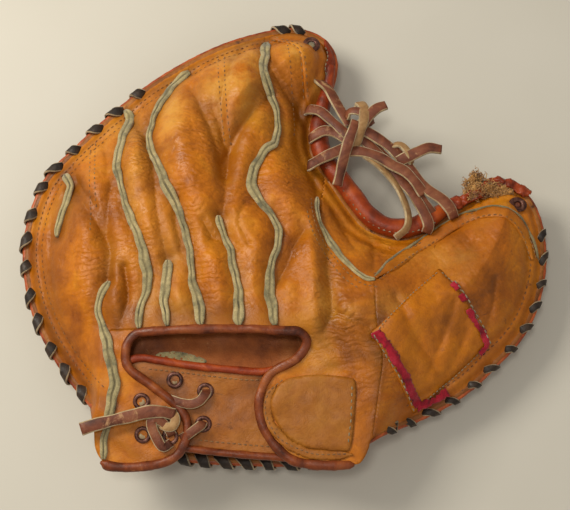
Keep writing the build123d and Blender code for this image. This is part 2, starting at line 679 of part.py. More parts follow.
def whip_stitches(outline, wanted):
    """The whip lace's turns over the rim, each slanted, where the rim is laced."""
    with BuildLine() as rim:
        Polyline(*outline, close=True)
    edge = rim.wires()[0]
    turns = int(edge.length / WHIP_PITCH)
    with BuildPart() as stitches:
        for turn in range(turns):
            at = edge.position_at(turn / turns)
            along = edge.tangent_at(turn / turns)
            if not wanted(at.X, at.Y):
                continue
            outwards = Vector(-along.Y, along.X, 0)
            clear = outwards * (WHIP_SIZE[1] / 2 + WHIP_CLEARANCE)
            level = Vector(0, 0, (RIM_LOW + RIM_HIGH) / 2)
            plane = Plane(origin=at + clear + level, x_dir=along, z_dir=(0, 0, 1))
            with Locations(plane.location * Location((0, 0, 0), (0, WHIP_SLANT_DEG, 0))):
                Box(*WHIP_SIZE)
    return stitches


def finger_rim_is_laced(x, y):
    """Laced from the fingertips round to the heel, but for the crotch and the break."""
    beside_heel_flap = WRIST_LEFT < x < -50
    at_tips = x < -60 and y > 0
    return at_tips or (x < HINGE_X - 14 and (x < 14 or y < -40) and not beside_heel_flap)


def thumb_rim_is_laced(x, y):
    """Laced along the outside of the thumb, from the break to its tip."""
    return x > HINGE_X + 16 and y < 8 and x - y > 130


keep("perimeter_lace", whip_stitches(FINGER_OUTLINE, finger_rim_is_laced))
keep("thumb_perimeter_lace", whip_stitches(THUMB_OUTLINE, thumb_rim_is_laced))

for name, piece in pieces.items():
    export_step(piece, f"parts/{name}.step")
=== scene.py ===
"""Catcher's mitt lying palm down: leather, welts, laces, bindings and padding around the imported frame."""

import math

import bmesh
import bpy
import numpy as np
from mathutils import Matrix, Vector
from mathutils.geometry import delaunay_2d_cdt


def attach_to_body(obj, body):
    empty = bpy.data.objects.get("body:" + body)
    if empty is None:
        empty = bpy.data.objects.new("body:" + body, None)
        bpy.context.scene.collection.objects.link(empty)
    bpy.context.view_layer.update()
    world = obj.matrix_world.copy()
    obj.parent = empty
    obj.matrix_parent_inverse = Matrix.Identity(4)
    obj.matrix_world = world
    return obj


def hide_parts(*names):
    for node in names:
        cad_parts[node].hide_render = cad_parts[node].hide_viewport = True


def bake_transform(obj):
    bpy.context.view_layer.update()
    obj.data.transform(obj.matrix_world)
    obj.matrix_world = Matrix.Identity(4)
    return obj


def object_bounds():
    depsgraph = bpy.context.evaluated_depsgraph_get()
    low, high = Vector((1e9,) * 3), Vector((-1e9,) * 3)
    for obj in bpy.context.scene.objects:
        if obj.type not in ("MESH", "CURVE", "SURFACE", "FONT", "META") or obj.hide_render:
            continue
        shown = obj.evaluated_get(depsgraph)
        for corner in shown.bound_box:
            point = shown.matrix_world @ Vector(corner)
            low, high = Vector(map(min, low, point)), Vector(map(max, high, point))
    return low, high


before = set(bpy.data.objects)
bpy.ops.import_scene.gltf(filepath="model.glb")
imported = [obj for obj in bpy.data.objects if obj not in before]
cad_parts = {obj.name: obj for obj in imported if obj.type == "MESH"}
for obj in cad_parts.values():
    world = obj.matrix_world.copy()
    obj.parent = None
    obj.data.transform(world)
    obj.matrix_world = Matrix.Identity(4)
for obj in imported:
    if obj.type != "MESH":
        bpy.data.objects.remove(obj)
cad_low, cad_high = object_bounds()

MM = 0.001
FINGERS = "finger_section"
THUMB = "thumb_section"
rng = np.random.default_rng(7)

# heights in mm
RIM_Z = 24.0
WRIST_Y = -60.0
WRIST_Z = 54.0
WRIST_SLOPE = math.tan(math.radians(8.0))

# ---- routes in plan, mm, as in the CAD frame ----
RIM = [
    (-20, -131), (-60, -128), (-84, -119), (-107, -101), (-128, -77), (-144, -49), (-152, -20), (-152, 7),
    (-143, 36), (-126, 56), (-103, 79), (-75, 102), (-42, 121), (-12, 131), (8, 133), (24, 126),
    (31, 112), (28, 94), (20, 80), (17, 66), (18, 54), (23, 43), (30, 33), (37, 22), (45, 11),
    (56, 4), (67, 1.5), (78, 3.5), (90, 10), (100, 17), (110, 25), (122, 32), (134, 33), (145, 25),
    (151, 10), (152.5, -9), (150, -28), (143, -48), (133, -63), (121, -75), (107, -88),
    (92, -98), (76, -106), (62, -112), (48, -119), (25, -130),
]
BINDING = [
    (-94, -134), (-78, -134), (-62, -130), (-55, -121), (-54, -110), (-60, -101), (-74, -90),
    (-86, -81), (-88, -71), (-84, -63), (-74, -61), (-30, -60), (0, -61), (8, -61.5), (12, -67), (6, -76),
    (-8, -84), (-14, -97), (-13, -110), (-7, -121), (3, -130),
]
LEFT_FLAP = [
    (-100, -66), (-102, -100), (-105, -112), (-104, -124), (-100, -131), (-94, -134), (-78, -134),
    (-62, -130), (-55, -121), (-54, -110), (-60, -101), (-74, -90), (-86, -81), (-88, -71),
]
RIGHT_FLAP = [
    (12, -66), (6, -76), (-8, -84), (-14, -97), (-13, -110), (-7, -121), (3, -130), (18, -133), (38, -133),
    (44, -128), (48, -113), (51, -98), (50, -70),
]
WELTS = {
    "welt_outer": [(-130, 38), (-126, 30), (-127, 19), (-130, 4), (-131, -3)],
    "welt_little": [(-96, 79), (-93, 73), (-94, 65), (-96, 52), (-97, 40), (-95, 30), (-92, 17), (-88, 7),
                    (-83, -6), (-79, -17), (-77, -31), (-78, -41), (-81, -51), (-81, -59)],
    "welt_ring": [(-58, 103), (-65, 96), (-72, 83), (-77, 69), (-79, 57), (-77, 47), (-73, 37), (-68, 25),
                  (-63, 14), (-58, 3), (-55, -8), (-52, -26), (-51, -36), (-48, -46), (-46, -58)],
    "welt_short": [(-38, 5), (-35, -4), (-31, -15), (-29, -25), (-27, -31), (-26, -44), (-25, -58)],
    "welt_index": [(-12, 122), (-12, 109), (-13, 97), (-10, 87), (-6, 77), (-5, 66), (-6, 53), (-11, 48),
                   (-16, 40), (-19, 30), (-18, 21), (-13, 13), (-7, 6), (-4, -3), (-5, -14), (-8, -24),
                   (-9, -31), (-9, -39), (-7, -46), (-6, -58)],
    "welt_stub": [(-65, -20), (-66, -31), (-67, -42), (-66, -49), (-65, -58)],
}
HEEL_WELT = [
    (-99, -32), (-103, -40), (-104, -47), (-102, -57), (-98, -68), (-96, -78), (-94, -89), (-95, -98),
    (-97, -108), (-99, -118), (-99, -130),
]


def smooth(path, step=1.5, closed=False):
    """Even points, a step in mm apart, along a Catmull-Rom curve through the path."""
    pts = np.array(path, dtype=float)
    if closed:
        ring = np.vstack([pts[-1], pts, pts[0], pts[1]])
    else:
        ring = np.vstack([2 * pts[0] - pts[1], pts, 2 * pts[-1] - pts[-2]])
    t = np.linspace(0, 1, 13)[:-1, None]
    out = []
    for a, b, c, d in zip(ring[:-3], ring[1:-2], ring[2:-1], ring[3:]):
        out.append(0.5 * (2 * b + (c - a) * t + (2 * a - 5 * b + 4 * c - d) * t**2
                          + (3 * b - a - 3 * c + d) * t**3))
    out = np.vstack(out + [ring[1:2] if closed else ring[-2:-1]])
    lengths = np.r_[0, np.cumsum(np.linalg.norm(np.diff(out, axis=0), axis=1))]
    count = max(2, int(round(lengths[-1] / step)))
    even = np.linspace(0, lengths[-1], count + 1)
    if closed:
        even = even[:-1]
    return np.column_stack([np.interp(even, lengths, out[:, k]) for k in range(pts.shape[1])])


def path_distance(x, y, path, closed=False):
    """Distance in plan from points to a polyline."""
    pts = np.asarray(path)[:, :2]
    nxt = np.roll(pts, -1, axis=0) if closed else pts[1:]
    start = pts if closed else pts[:-1]
    best = np.full(np.shape(x), 1e9)
    for (ax, ay), (bx, by) in zip(start, nxt):
        dx, dy = bx - ax, by - ay
        span = dx * dx + dy * dy + 1e-12
        t = np.clip(((x - ax) * dx + (y - ay) * dy) / span, 0, 1)
        best = np.minimum(best, (x - ax - t * dx) ** 2 + (y - ay - t * dy) ** 2)
    return np.sqrt(best)


def inside(x, y, poly):
    """True where points lie inside a closed polygon."""
    poly = np.asarray(poly)
    hit = np.zeros(np.shape(x), dtype=bool)
    for (ax, ay), (bx, by) in zip(poly, np.roll(poly, -1, axis=0)):
        if ay == by:
            continue
        cross = (ay > y) != (by > y)
        hit ^= cross & (x < (bx - ax) * (y - ay) / (by - ay) + ax)
    return hit


def step01(t):
    """Smooth rise from 0 to 1."""
    t = np.clip(t, 0, 1)
    return t * t * (3 - 2 * t)


def waves(x, y, wavelength, count=14, seed=1, stretch=(1.0, 1.0)):
    """Smooth noise of about unit size from a sum of waves in many directions."""
    gen = np.random.default_rng(seed)
    total = np.zeros(np.shape(x))
    for _ in range(count):
        angle = gen.uniform(0, 2 * math.pi)
        k = 2 * math.pi / (wavelength * gen.uniform(0.7, 1.5))
        phase = gen.uniform(0, 2 * math.pi)
        total += np.sin(k * (x * math.cos(angle) * stretch[0] + y * math.sin(angle) * stretch[1]) + phase)
    return total / math.sqrt(count)


def bumps(x, y, features):
    """Sum of ridges (height over 0) and grooves (under 0): (height, half width, path)."""
    total = np.zeros(np.shape(x))
    for height, width, path in features:
        route = smooth(path, 3.0)
        xs, ys = route[:, 0], route[:, 1]
        reach = 3.2 * width
        near = ((x > xs.min() - reach) & (x < xs.max() + reach)
                & (y > ys.min() - reach) & (y < ys.max() + reach))
        if near.any():
            gap = path_distance(x[near], y[near], route)
            shape = np.exp(-gap / width * 0.9) * 0.75 + np.exp(-(gap / width) ** 2) * 0.35
            total[near] += height * (shape if height < 0 else np.exp(-(gap / width) ** 2))
    return total


# ---- the shape of the back ----
CREASES = [
    (-4.5, 5, [(-123, 28), (-115, 14), (-108, 4), (-102, -6), (-99, -16), (-100, -30)]),
    (-3.0, 4, [(-100, 26), (-101, 11), (-101, -6)]),
    (-2.2, 4, [(-91, 68), (-84, 58), (-80, 48)]),
    (-3.0, 4, [(-77, 41), (-74, 20), (-72, 5), (-66, -21)]),
    (-4.5, 6, [(-42, 72), (-37, 57), (-33, 44), (-34, 30)]),
    (-4.0, 5, [(-15, 84), (-22, 66), (-29, 52), (-33, 42), (-34, 20), (-35, 7)]),
    (-3.0, 3, [(-46, 2), (-41, -8)]),
    (-4.5, 3, [(-90, -24), (-88, -42), (-92, -58)]),
    (-4.0, 4, [(11, -1), (5, -11), (2, -20), (-3, -31)]),
    (-4.0, 4, [(-9, 101), (0, 87), (8, 77), (13, 67), (16, 54), (17, 43), (18, 29), (20, 15), (22, 1),
               (24, -12), (24, -25), (26, -48), (21, -61)]),
    (-2.0, 2.2, [(28, -50), (36, -54), (46, -58)]),
    (-2.0, 2.2, [(28, -58), (38, -63), (48, -68)]),
    (-1.8, 2.2, [(29, -66), (40, -72), (50, -80)]),
    (-2.4, 2.6, [(14, -82), (28, -79), (38, -76)]),
    (-5.0, 3.0, [(50, -64), (53, -76), (51, -98), (46, -126)]),
    (-2.6, 2.5, [(-26, 118), (-33, 100), (-37, 76), (-36, 52)]),
    (-2.6, 3.0, [(-8, 84), (-20, 70), (-30, 54), (-36, 40)]),
    (-2.6, 3.0, [(-56, 88), (-46, 66), (-39, 46), (-36, 30)]),
    (-2.2, 2.5, [(-92, 72), (-82, 58), (-76, 44)]),
    (-2.4, 2.5, [(-127, 44), (-118, 26), (-108, 12)]),
    (-2.2, 2.5, [(-10, 110), (-3, 96), (6, 84), (12, 72)]),
    (-2.4, 2.5, [(12, -62), (24, -70), (38, -74), (50, -72)]),
    (-1.8, 2.2, [(10, -66), (20, -76), (32, -81)]),
    (-1.4, 2.0, [(96, -42), (90, -60), (80, -84)]),
    (-1.2, 2.0, [(104, -56), (98, -70), (90, -84)]),
    (-1.6, 2.0, [(-22, 14), (-26, 2), (-20, -12)]),
    (-1.8, 2.5, [(-60, 20), (-62, 4), (-58, -16)]),
    (-1.8, 3, [(62, -40), (72, -60), (92, -88)]),
    (-1.6, 2.5, [(28, 14), (34, 2), (40, -10)]),
    (-1.6, 2.5, [(48, 4), (52, -8), (50, -22)]),
    (-1.2, 2.0, [(112, -60), (118, -44), (120, -28)]),
    (-1.2, 2.0, [(-134, 34), (-136, 10), (-135, -14), (-131, -40), (-118, -70)]),
    (-1.2, 1.8, [(-108, 58), (-104, 44), (-103, 33)]),
]
RIDGES = [
    (3.0, 8, [(-112, 30), (-112, 0), (-112, -40)]),
    (2.5, 7, [(-88, 40), (-84, 20), (-76, 0)]),
    (3.5, 8, [(-62, 60), (-55, 30), (-46, 12), (-42, 2)]),
    (2.5, 6, [(-29, 8), (-24, -6)]),
    (3.5, 9, [(-30, 100), (-26, 86)]),
    (3.5, 8, [(-5, 48), (0, 30), (6, 14)]),
    (4.0, 6, [(15, 6), (16, -14), (17, -37), (17, -59), (14, -78)]),
    (2.5, 5, [(-95, -20), (-95, -42), (-94, -56)]),
    (3.0, 8, [(36, -46), (48, -40), (60, -34)]),
    (2.2, 12, [(66, -58), (92, -40), (120, -22)]),
    (2.0, 7, [(-64, -30), (-58, -44)]),
    (2.0, 6, [(-38, -22), (-36, -50)]),
    (1.6, 6, [(-17, -10), (-16, -44)]),
]


def wrist_plane(y):
    """Height of the flaps and the strap, sloping down to the wrist."""
    return WRIST_Z + (y - WRIST_Y) * WRIST_SLOPE


rim_line = smooth(RIM, 4.0, closed=True)
WELT_LINES = {name: smooth(path, 2.0) for name, path in WELTS.items()}


def relief(x, y):
    """Welt valleys, folds, finger swell and small wrinkles, in mm."""
    total = bumps(x, y, CREASES) + bumps(x, y, RIDGES)
    for route in WELT_LINES.values():
        gap = path_distance(x, y, route)
        total -= 3.4 * np.exp(-(gap / 6.5) ** 2)
    heel = path_distance(x, y, smooth(HEEL_WELT, 2.0))
    total -= 2.2 * np.exp(-(heel / 5.0) ** 2)
    total += 0.55 * waves(x, y, 34, seed=3) + 0.2 * waves(x, y, 12, seed=4)
    fold = waves(x + 4 * waves(x, y, 30, seed=5), y, 7.5, seed=6, stretch=(1.0, 0.45))
    total -= 0.34 * np.exp(-np.abs(fold) / 0.22)
    cross = waves(x, y + 5 * waves(x, y, 34, seed=8), 9.0, seed=9, stretch=(0.4, 1.0))
    total -= 0.26 * np.exp(-np.abs(cross) / 0.2)
    return total


def back_z(x, y):
    """Top of the back hide over the plan, in mm."""
    x = np.asarray(x, dtype=float)
    y = np.asarray(y, dtype=float)
    shape = x.shape
    x, y = x.ravel(), y.ravel()
    within = inside(x, y, rim_line)
    gap = np.where(within, path_distance(x, y, rim_line, closed=True), 0.0)
    rise = 33.0 - 9.0 * step01((x - 46) / 46)
    flange = 3.0 * step01(gap / 8.0)
    swell = rise * (1 - np.exp(-(np.clip(gap - 4.0, 0, None) / 25.0) ** 1.15))
    z = RIM_Z + 0.6 + flange + swell - 2.0 * np.exp(-((gap - 10.5) / 2.5) ** 2)
    z += relief(x, y) * step01(gap / 16.0) * (1 - 0.7 * step01((-y - 38) / 22) * step01((16 - x) / 10))
    for flap, reach in ((LEFT_FLAP, 13.0), (RIGHT_FLAP, 24.0)):
        off = np.where(inside(x, y, flap), 0.0, path_distance(x, y, flap, closed=True))
        share = step01(1 - off / reach) * step01((WRIST_Y + 10 - y) / 22.0)
        level = wrist_plane(y) + 1.2 + 0.35 * waves(x, y, 14, seed=12)
        z = z * (1 - share) + level * share
    return z.reshape(shape)


def lift(path, offset=0.0, step=1.5, closed=False):
    """Points of a plan route laid on the back, in mm, with the back's normals."""
    route = smooth(path, step, closed)
    x, y = route[:, 0], route[:, 1]
    z = back_z(x, y)
    h = 1.5
    slope_x = (back_z(x + h, y) - back_z(x - h, y)) / (2 * h)
    slope_y = (back_z(x, y + h) - back_z(x, y - h)) / (2 * h)
    normal = np.column_stack([-slope_x, -slope_y, np.ones_like(z)])
    normal /= np.linalg.norm(normal, axis=1)[:, None]
    normal = 0.65 * normal + 0.35 * np.array([0, 0, 1.0])
    normal /= np.linalg.norm(normal, axis=1)[:, None]
    return np.column_stack([x, y, z]) + normal * offset, normal


# ---- mesh makers ----
def attach(obj, where):
    """Ride on one section, or, for both, stay unparented across the break between them with the placement baked
    into the points.
    """
    if where == "both":
        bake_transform(obj)
    else:
        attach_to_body(obj, where)


def dress(obj, where=None, nodes=(), thick=None, offset=-1.0):
    """Put a piece on its section, give it a thickness in mm and hide the CAD nodes that it stands for."""
    if where:
        attach(obj, where)
    if thick:
        modifier = obj.modifiers.new("thickness", "SOLIDIFY")
        modifier.thickness = thick * MM
        modifier.offset = offset
    if nodes:
        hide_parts(*nodes)
    return obj


def mesh_piece(name, verts, faces, material, face_slots=None, more=()):
    """A smooth-shaded mesh object from points in mm."""
    mesh = bpy.data.meshes.new(name)
    mesh.from_pydata([tuple(v * MM for v in p) for p in verts], [], [tuple(f) for f in faces])
    obj = bpy.data.objects.new(name, mesh)
    bpy.context.collection.objects.link(obj)
    for mat in (material, *more):
        mesh.materials.append(mat)
    if face_slots is not None:
        mesh.polygons.foreach_set("material_index", list(face_slots))
    mesh.polygons.foreach_set("use_smooth", [True] * len(mesh.polygons))
    mesh.update()
    return obj


def tube_faces(first, stations, ring, closed=False):
    """Quads between neighbouring rings of points, numbered from first."""
    return [(first + i * ring + k, first + i * ring + (k + 1) % ring,
             first + (i + 1) % stations * ring + (k + 1) % ring, first + (i + 1) % stations * ring + k)
            for i in range(stations if closed else stations - 1) for k in range(ring)]


def end_caps(first, stations, ring):
    """The two faces that close a tube of rings."""
    last = first + (stations - 1) * ring
    return [tuple(range(first + ring - 1, first - 1, -1)), tuple(range(last, last + ring))]


def turn_outwards(obj):
    """Make the faces of a closed mesh look outwards."""
    bm = bmesh.new()
    bm.from_mesh(obj.data)
    bmesh.ops.recalc_face_normals(bm, faces=bm.faces)
    bm.to_mesh(obj.data)
    bm.free()
    return obj


def frames_along(points, ups):
    """Unit sideways and upward directions along a line."""
    points = np.asarray(points, dtype=float)
    tangents = np.gradient(points, axis=0)
    tangents /= np.linalg.norm(tangents, axis=1)[:, None] + 1e-12
    ups = np.asarray(ups, dtype=float)
    if ups.ndim == 1:
        ups = np.tile(ups, (len(points), 1))
    side = np.cross(tangents, ups)
    side /= np.linalg.norm(side, axis=1)[:, None] + 1e-12
    return side, np.cross(side, tangents)


def sweep(name, points, ups, profile, material, scale, edge_slots=None, more=()):
    """A closed profile (side, up) in mm carried along points, scaled at each, with capped ends."""
    points = np.asarray(points, dtype=float)
    profile = np.asarray(profile, dtype=float)
    count, ring = len(points), len(profile)
    side, up = frames_along(points, ups)
    size = np.asarray(scale, dtype=float).reshape(count, -1) * np.ones(2)
    verts = (points[:, None, :]
             + side[:, None, :] * (profile[None, :, :1] * size[:, None, :1])
             + up[:, None, :] * (profile[None, :, 1:] * size[:, None, 1:])).reshape(-1, 3)
    faces = tube_faces(0, count, ring) + end_caps(0, count, ring)
    slots = edge_slots or [0] * ring
    slots = slots * (count - 1) + [max(slots)] * 2
    return turn_outwards(mesh_piece(name, verts, faces, material, slots, more))


def round_profile(radius, squash, sides):
    """A circle pressed flat by a share, as (side, up)."""
    return [(radius * math.cos(2 * math.pi * k / sides), radius * squash * math.sin(2 * math.pi * k / sides))
            for k in range(sides)]


def strap_profile(width, thick):
    """A flat lace's section, and which of its sides are raw edges."""
    w, t = width / 2, thick / 2
    points = [(-w, -t * 0.5), (-w * 0.86, -t), (0, -t), (w * 0.86, -t), (w, -t * 0.5), (w, t * 0.5),
              (w * 0.84, t), (0, t * 1.12), (-w * 0.84, t), (-w, t * 0.5)]
    return points, [1, 0, 0, 1, 1, 1, 0, 0, 1, 1]


def lace(name, route, material, edge_material, width, thick, ups=(0, 0, 1), step=1.2):
    """A flat lace through given points in mm, with pale raw edges."""
    points = smooth(route, step)
    if np.ndim(ups) == 2:
        marks = np.linspace(0, 1, len(ups))
        along = np.linspace(0, 1, len(points))
        ups = np.column_stack([np.interp(along, marks, np.asarray(ups, float)[:, k]) for k in range(3)])
    profile, raw = strap_profile(width, thick)
    along = np.arange(len(points)) * step
    seed = sum(ord(c) for c in name)
    wobble = 1 + 0.06 * np.sin(along / 5.1 + seed) + 0.04 * np.sin(along / 2.3 + 2 * seed)
    return sweep(name, points, ups, profile, material, np.column_stack([wobble, np.ones_like(wobble)]), raw,
                 (edge_material,))


def join(name, objects):
    """Join mesh objects into one."""
    with bpy.context.temp_override(active_object=objects[0], selected_editable_objects=objects):
        bpy.ops.object.join()
    objects[0].name = name
    objects[0].data.name = name
    return objects[0]


def plan_mesh(boundary, spacing, lines=()):
    """Points and triangles that fill an outline in plan, with its edge and any seam lines kept."""
    loop = np.asarray(boundary)[:, :2]
    points = [tuple(p) for p in loop]
    edges = [(i, (i + 1) % len(loop)) for i in range(len(loop))]
    low, high = loop.min(axis=0), loop.max(axis=0)
    gx, gy = np.meshgrid(np.arange(low[0], high[0], spacing), np.arange(low[1], high[1], spacing * 0.866))
    gx = gx + (np.arange(gx.shape[0]) % 2)[:, None] * spacing / 2
    gx, gy = gx.ravel(), gy.ravel()
    good = inside(gx, gy, loop)
    gx, gy = gx[good], gy[good]
    clear = path_distance(gx, gy, loop, closed=True) > spacing * 0.55
    for line in lines:
        from_edge = path_distance(line[:, 0], line[:, 1], loop, closed=True)
        line = line[inside(line[:, 0], line[:, 1], loop) & (from_edge > 0.5)]
        if len(line) > 1:
            clear &= path_distance(gx, gy, line) > spacing * 0.5
            first = len(points)
            points += [tuple(p) for p in line]
            edges += [(first + i, first + i + 1) for i in range(len(line) - 1)]
    points += list(zip(gx[clear], gy[clear]))
    out = delaunay_2d_cdt([Vector(p) for p in points], edges, [], 0, 1e-7)
    verts = np.array([(v.x, v.y) for v in out[0]])
    faces = np.array([f for f in out[2] if len(f) == 3])
    centre = verts[faces].mean(axis=1)
    faces = faces[inside(centre[:, 0], centre[:, 1], loop)]
    a, b, c = (verts[faces[:, k]] for k in range(3))
    flip = np.cross(b - a, c - a) < 0
    faces[flip] = faces[flip][:, ::-1]
    return verts, faces


def paint(obj, name, values):
    """A float attribute on the points, for the material."""
    attribute = obj.data.attributes.new(name, "FLOAT", "POINT")
    attribute.data.foreach_set("value", np.asarray(values, dtype=np.float32))


# ---- materials ----
def rgb(r, g, b):
    """Linear colour from an 0-255 display colour."""
    linear = [((c / 255 + 0.055) / 1.055) ** 2.4 if c > 10.3 else c / 255 / 12.92 for c in (r, g, b)]
    return (*linear, 1.0)


class Graph:
    """Small helper that adds and links shader nodes."""

    def __init__(self, name):
        self.mat = bpy.data.materials.new(name)
        self.mat.use_nodes = True
        self.nodes = self.mat.node_tree.nodes
        self.links = self.mat.node_tree.links
        self.shader = self.nodes["Principled BSDF"]
        self.place = self.nodes.new("ShaderNodeTexCoord").outputs["Object"]

    def noise(self, scale, detail=4.0, roughness=0.55, distortion=0.0, vector=None, offset=0.0):
        """Cloudy noise."""
        node = self.nodes.new("ShaderNodeTexNoise")
        node.inputs["Scale"].default_value = scale
        node.inputs["Detail"].default_value = detail
        node.inputs["Roughness"].default_value = roughness
        node.inputs["Distortion"].default_value = distortion
        source = vector or self.place
        if offset:
            shift = self.nodes.new("ShaderNodeVectorMath")
            shift.inputs[1].default_value = (offset, offset * 0.7, offset * 0.3)
            self.links.new(source, shift.inputs[0])
            source = shift.outputs[0]
        self.links.new(source, node.inputs["Vector"])
        return node.outputs["Fac"]

    def cells(self, scale, feature="F1"):
        """Distance to the cells of a Voronoi texture."""
        node = self.nodes.new("ShaderNodeTexVoronoi")
        node.feature = feature
        node.inputs["Scale"].default_value = scale
        self.links.new(self.place, node.inputs["Vector"])
        return node.outputs["Distance"]

    def ramp(self, fac, *stops):
        """Colours at stops along a value."""
        node = self.nodes.new("ShaderNodeValToRGB")
        ramp = node.color_ramp
        while len(ramp.elements) < len(stops):
            ramp.elements.new(0.5)
        for element, (at, colour) in zip(ramp.elements, stops):
            element.position = at
            element.color = colour
        self.links.new(fac, node.inputs["Fac"])
        return node.outputs["Color"]

    def spread(self, fac, low, high, to_low=0.0, to_high=1.0):
        """A value's range mapped to another."""
        node = self.nodes.new("ShaderNodeMapRange")
        for socket, value in zip(("From Min", "From Max", "To Min", "To Max"), (low, high, to_low, to_high)):
            node.inputs[socket].default_value = value
        self.links.new(fac, node.inputs["Value"])
        return node.outputs["Result"]

    def mix(self, fac, a, b, mode="MIX"):
        """Two colours mixed."""
        node = self.nodes.new("ShaderNodeMix")
        node.data_type = "RGBA"
        node.blend_type = mode
        for socket, value in ((0, fac), (6, a), (7, b)):
            if isinstance(value, (tuple, float, int)):
                node.inputs[socket].default_value = value
            else:
                self.links.new(value, node.inputs[socket])
        return node.outputs[2]

    def math(self, operation, a, b):
        """One sum on two values."""
        node = self.nodes.new("ShaderNodeMath")
        node.operation = operation
        for socket, value in ((0, a), (1, b)):
            if isinstance(value, (float, int)):
                node.inputs[socket].default_value = value
            else:
                self.links.new(value, node.inputs[socket])
        return node.outputs[0]

    def attribute(self, name):
        """A value painted on the points."""
        node = self.nodes.new("ShaderNodeAttribute")
        node.attribute_name = name
        return node.outputs["Fac"]

    def bump(self, height, strength, distance, before=None):
        """A bumpy normal, over an earlier one."""
        node = self.nodes.new("ShaderNodeBump")
        node.inputs["Strength"].default_value = strength
        node.inputs["Distance"].default_value = distance
        self.links.new(height, node.inputs["Height"])
        if before is not None:
            self.links.new(before, node.inputs["Normal"])
        return node.outputs["Normal"]

    def finish(self, colour, roughness=None, normal=None, specular=0.5, sheen=0.0, metallic=0.0):
        """Link the maps to the shader and return the material."""
        self.links.new(colour, self.shader.inputs["Base Color"])
        if roughness is not None:
            self.links.new(roughness, self.shader.inputs["Roughness"])
        if normal is not None:
            self.links.new(normal, self.shader.inputs["Normal"])
        self.shader.inputs["Specular IOR Level"].default_value = specular
        self.shader.inputs["Sheen Weight"].default_value = sheen
        self.shader.inputs["Metallic"].default_value = metallic
        return self.mat


def leather(name, dark, base, light, scuff=None, scuff_from=0.62, rough=(0.34, 0.56), patch=26.0, painted=False,
            grain=1.0, specular=0.32, offset=0.0):
    """Old oiled leather: cloudy colour, fine creases with painted shade in them, pores, rubbed spots and uneven
    gloss; with painted set, also dirt with painted shade and paler leather with painted highlight from
    attributes.
    """
    g = Graph(name)
    cloud = g.noise(patch, 6.0, 0.62, 0.6, offset=offset)
    colour = g.ramp(cloud, (0.30, rgb(*dark)), (0.50, rgb(*base)), (0.72, rgb(*light)))
    fine = g.noise(190.0, 5.0, 0.65, 0.4, offset=offset)
    colour = g.mix(0.5, colour, g.ramp(fine, (0.32, (0.62, 0.54, 0.42, 1)), (0.6, (1, 1, 1, 1))), "MULTIPLY")
    streak = g.noise(75.0, 3.0, 0.5, 2.6, offset=offset + 0.3)
    line = g.math("ABSOLUTE", g.math("SUBTRACT", streak, 0.5), 0.0)
    crease = g.spread(line, 0.0, 0.035, 0.0, 1.0)
    # painted shade: darker along the fine creases that the bump draws
    colour = g.mix(g.spread(line, 0.0, 0.02, 0.13, 0.0), colour, rgb(*[c * 0.5 for c in dark]))
    if painted:
        # a painted attribute darkens the colour: partly dirt, partly painted shade in hollows
        stain_and_shade = g.math("MULTIPLY", g.attribute("grime_and_shade"), g.spread(fine, 0.3, 0.7, 0.65, 1.1))
        colour = g.mix(stain_and_shade, colour, rgb(*[c * 0.42 for c in dark]))
        # paler spots from a painted attribute: partly lighter leather, partly painted highlight
        pale_and_highlight = g.math("MULTIPLY", g.attribute("pale_and_highlight"), g.spread(g.noise(48.0, 5.0, 0.7), 0.36, 0.62))
        colour = g.mix(pale_and_highlight, colour, rgb(204, 148, 62))
    if scuff:
        spots = g.spread(g.noise(62.0, 8.0, 0.74, 1.2, offset=offset + 0.9), scuff_from, scuff_from + 0.07)
        colour = g.mix(spots, colour, rgb(*scuff))
    pores = g.cells(1250.0)
    pebble = g.noise(620.0, 4.0, 0.6)
    normal = g.bump(pores, 0.16 * grain, 0.0005)
    normal = g.bump(pebble, 0.22 * grain, 0.0006, normal)
    normal = g.bump(crease, 0.16 * grain, 0.0005, normal)
    normal = g.bump(fine, 0.22 * grain, 0.0010, normal)
    if painted:
        ripple = g.nodes.new("ShaderNodeTexWave")
        ripple.bands_direction = "Y"
        for socket, value in (("Scale", 95.0), ("Distortion", 9.0), ("Detail", 3.0), ("Detail Scale", 1.4)):
            ripple.inputs[socket].default_value = value
        g.links.new(g.place, ripple.inputs["Vector"])
        ripples = g.math("MULTIPLY", ripple.outputs["Fac"], g.attribute("wrinkle"))
        normal = g.bump(ripples, 0.6, 0.0010, normal)
    rough_map = g.spread(g.noise(42.0, 5.0, 0.6, offset=offset + 0.2), 0.35, 0.65, *rough)
    return g.finish(colour, rough_map, normal, specular)


tan = leather("tan_leather", (140, 72, 8), (190, 108, 8), (208, 134, 26), scuff=(124, 62, 16), scuff_from=0.66,
              painted=True)
tan_thumb = leather("tan_leather_thumb", (122, 64, 8), (172, 94, 6), (190, 116, 16), scuff=(112, 58, 16),
                    painted=True, offset=0.7)
tan_ring = leather("tan_leather_pale", (150, 82, 16), (196, 118, 22), (210, 142, 44), painted=True, offset=1.3)
tan_patch = leather("tan_leather_patch", (142, 78, 4), (182, 104, 4), (196, 122, 14), scuff=(124, 66, 10),
                    offset=2.1)
flap_leather = leather("tan_leather_flap", (118, 60, 10), (162, 88, 14), (182, 110, 26), scuff=(104, 54, 18),
                       offset=1.7)
strap_leather = leather("strap_leather", (108, 58, 14), (154, 88, 22), (172, 108, 38), scuff=(100, 56, 22),
                        scuff_from=0.6, offset=2.9)
patch_pale = leather("heel_patch_leather", (120, 68, 16), (158, 94, 22), (178, 118, 42), scuff=(110, 62, 24),
                     offset=3.3, rough=(0.42, 0.62))
palm_mat = leather("palm_leather", (104, 58, 22), (150, 90, 34), (182, 120, 56), scuff=(84, 48, 24),
                   scuff_from=0.58, patch=18.0, offset=4.1, rough=(0.36, 0.6))
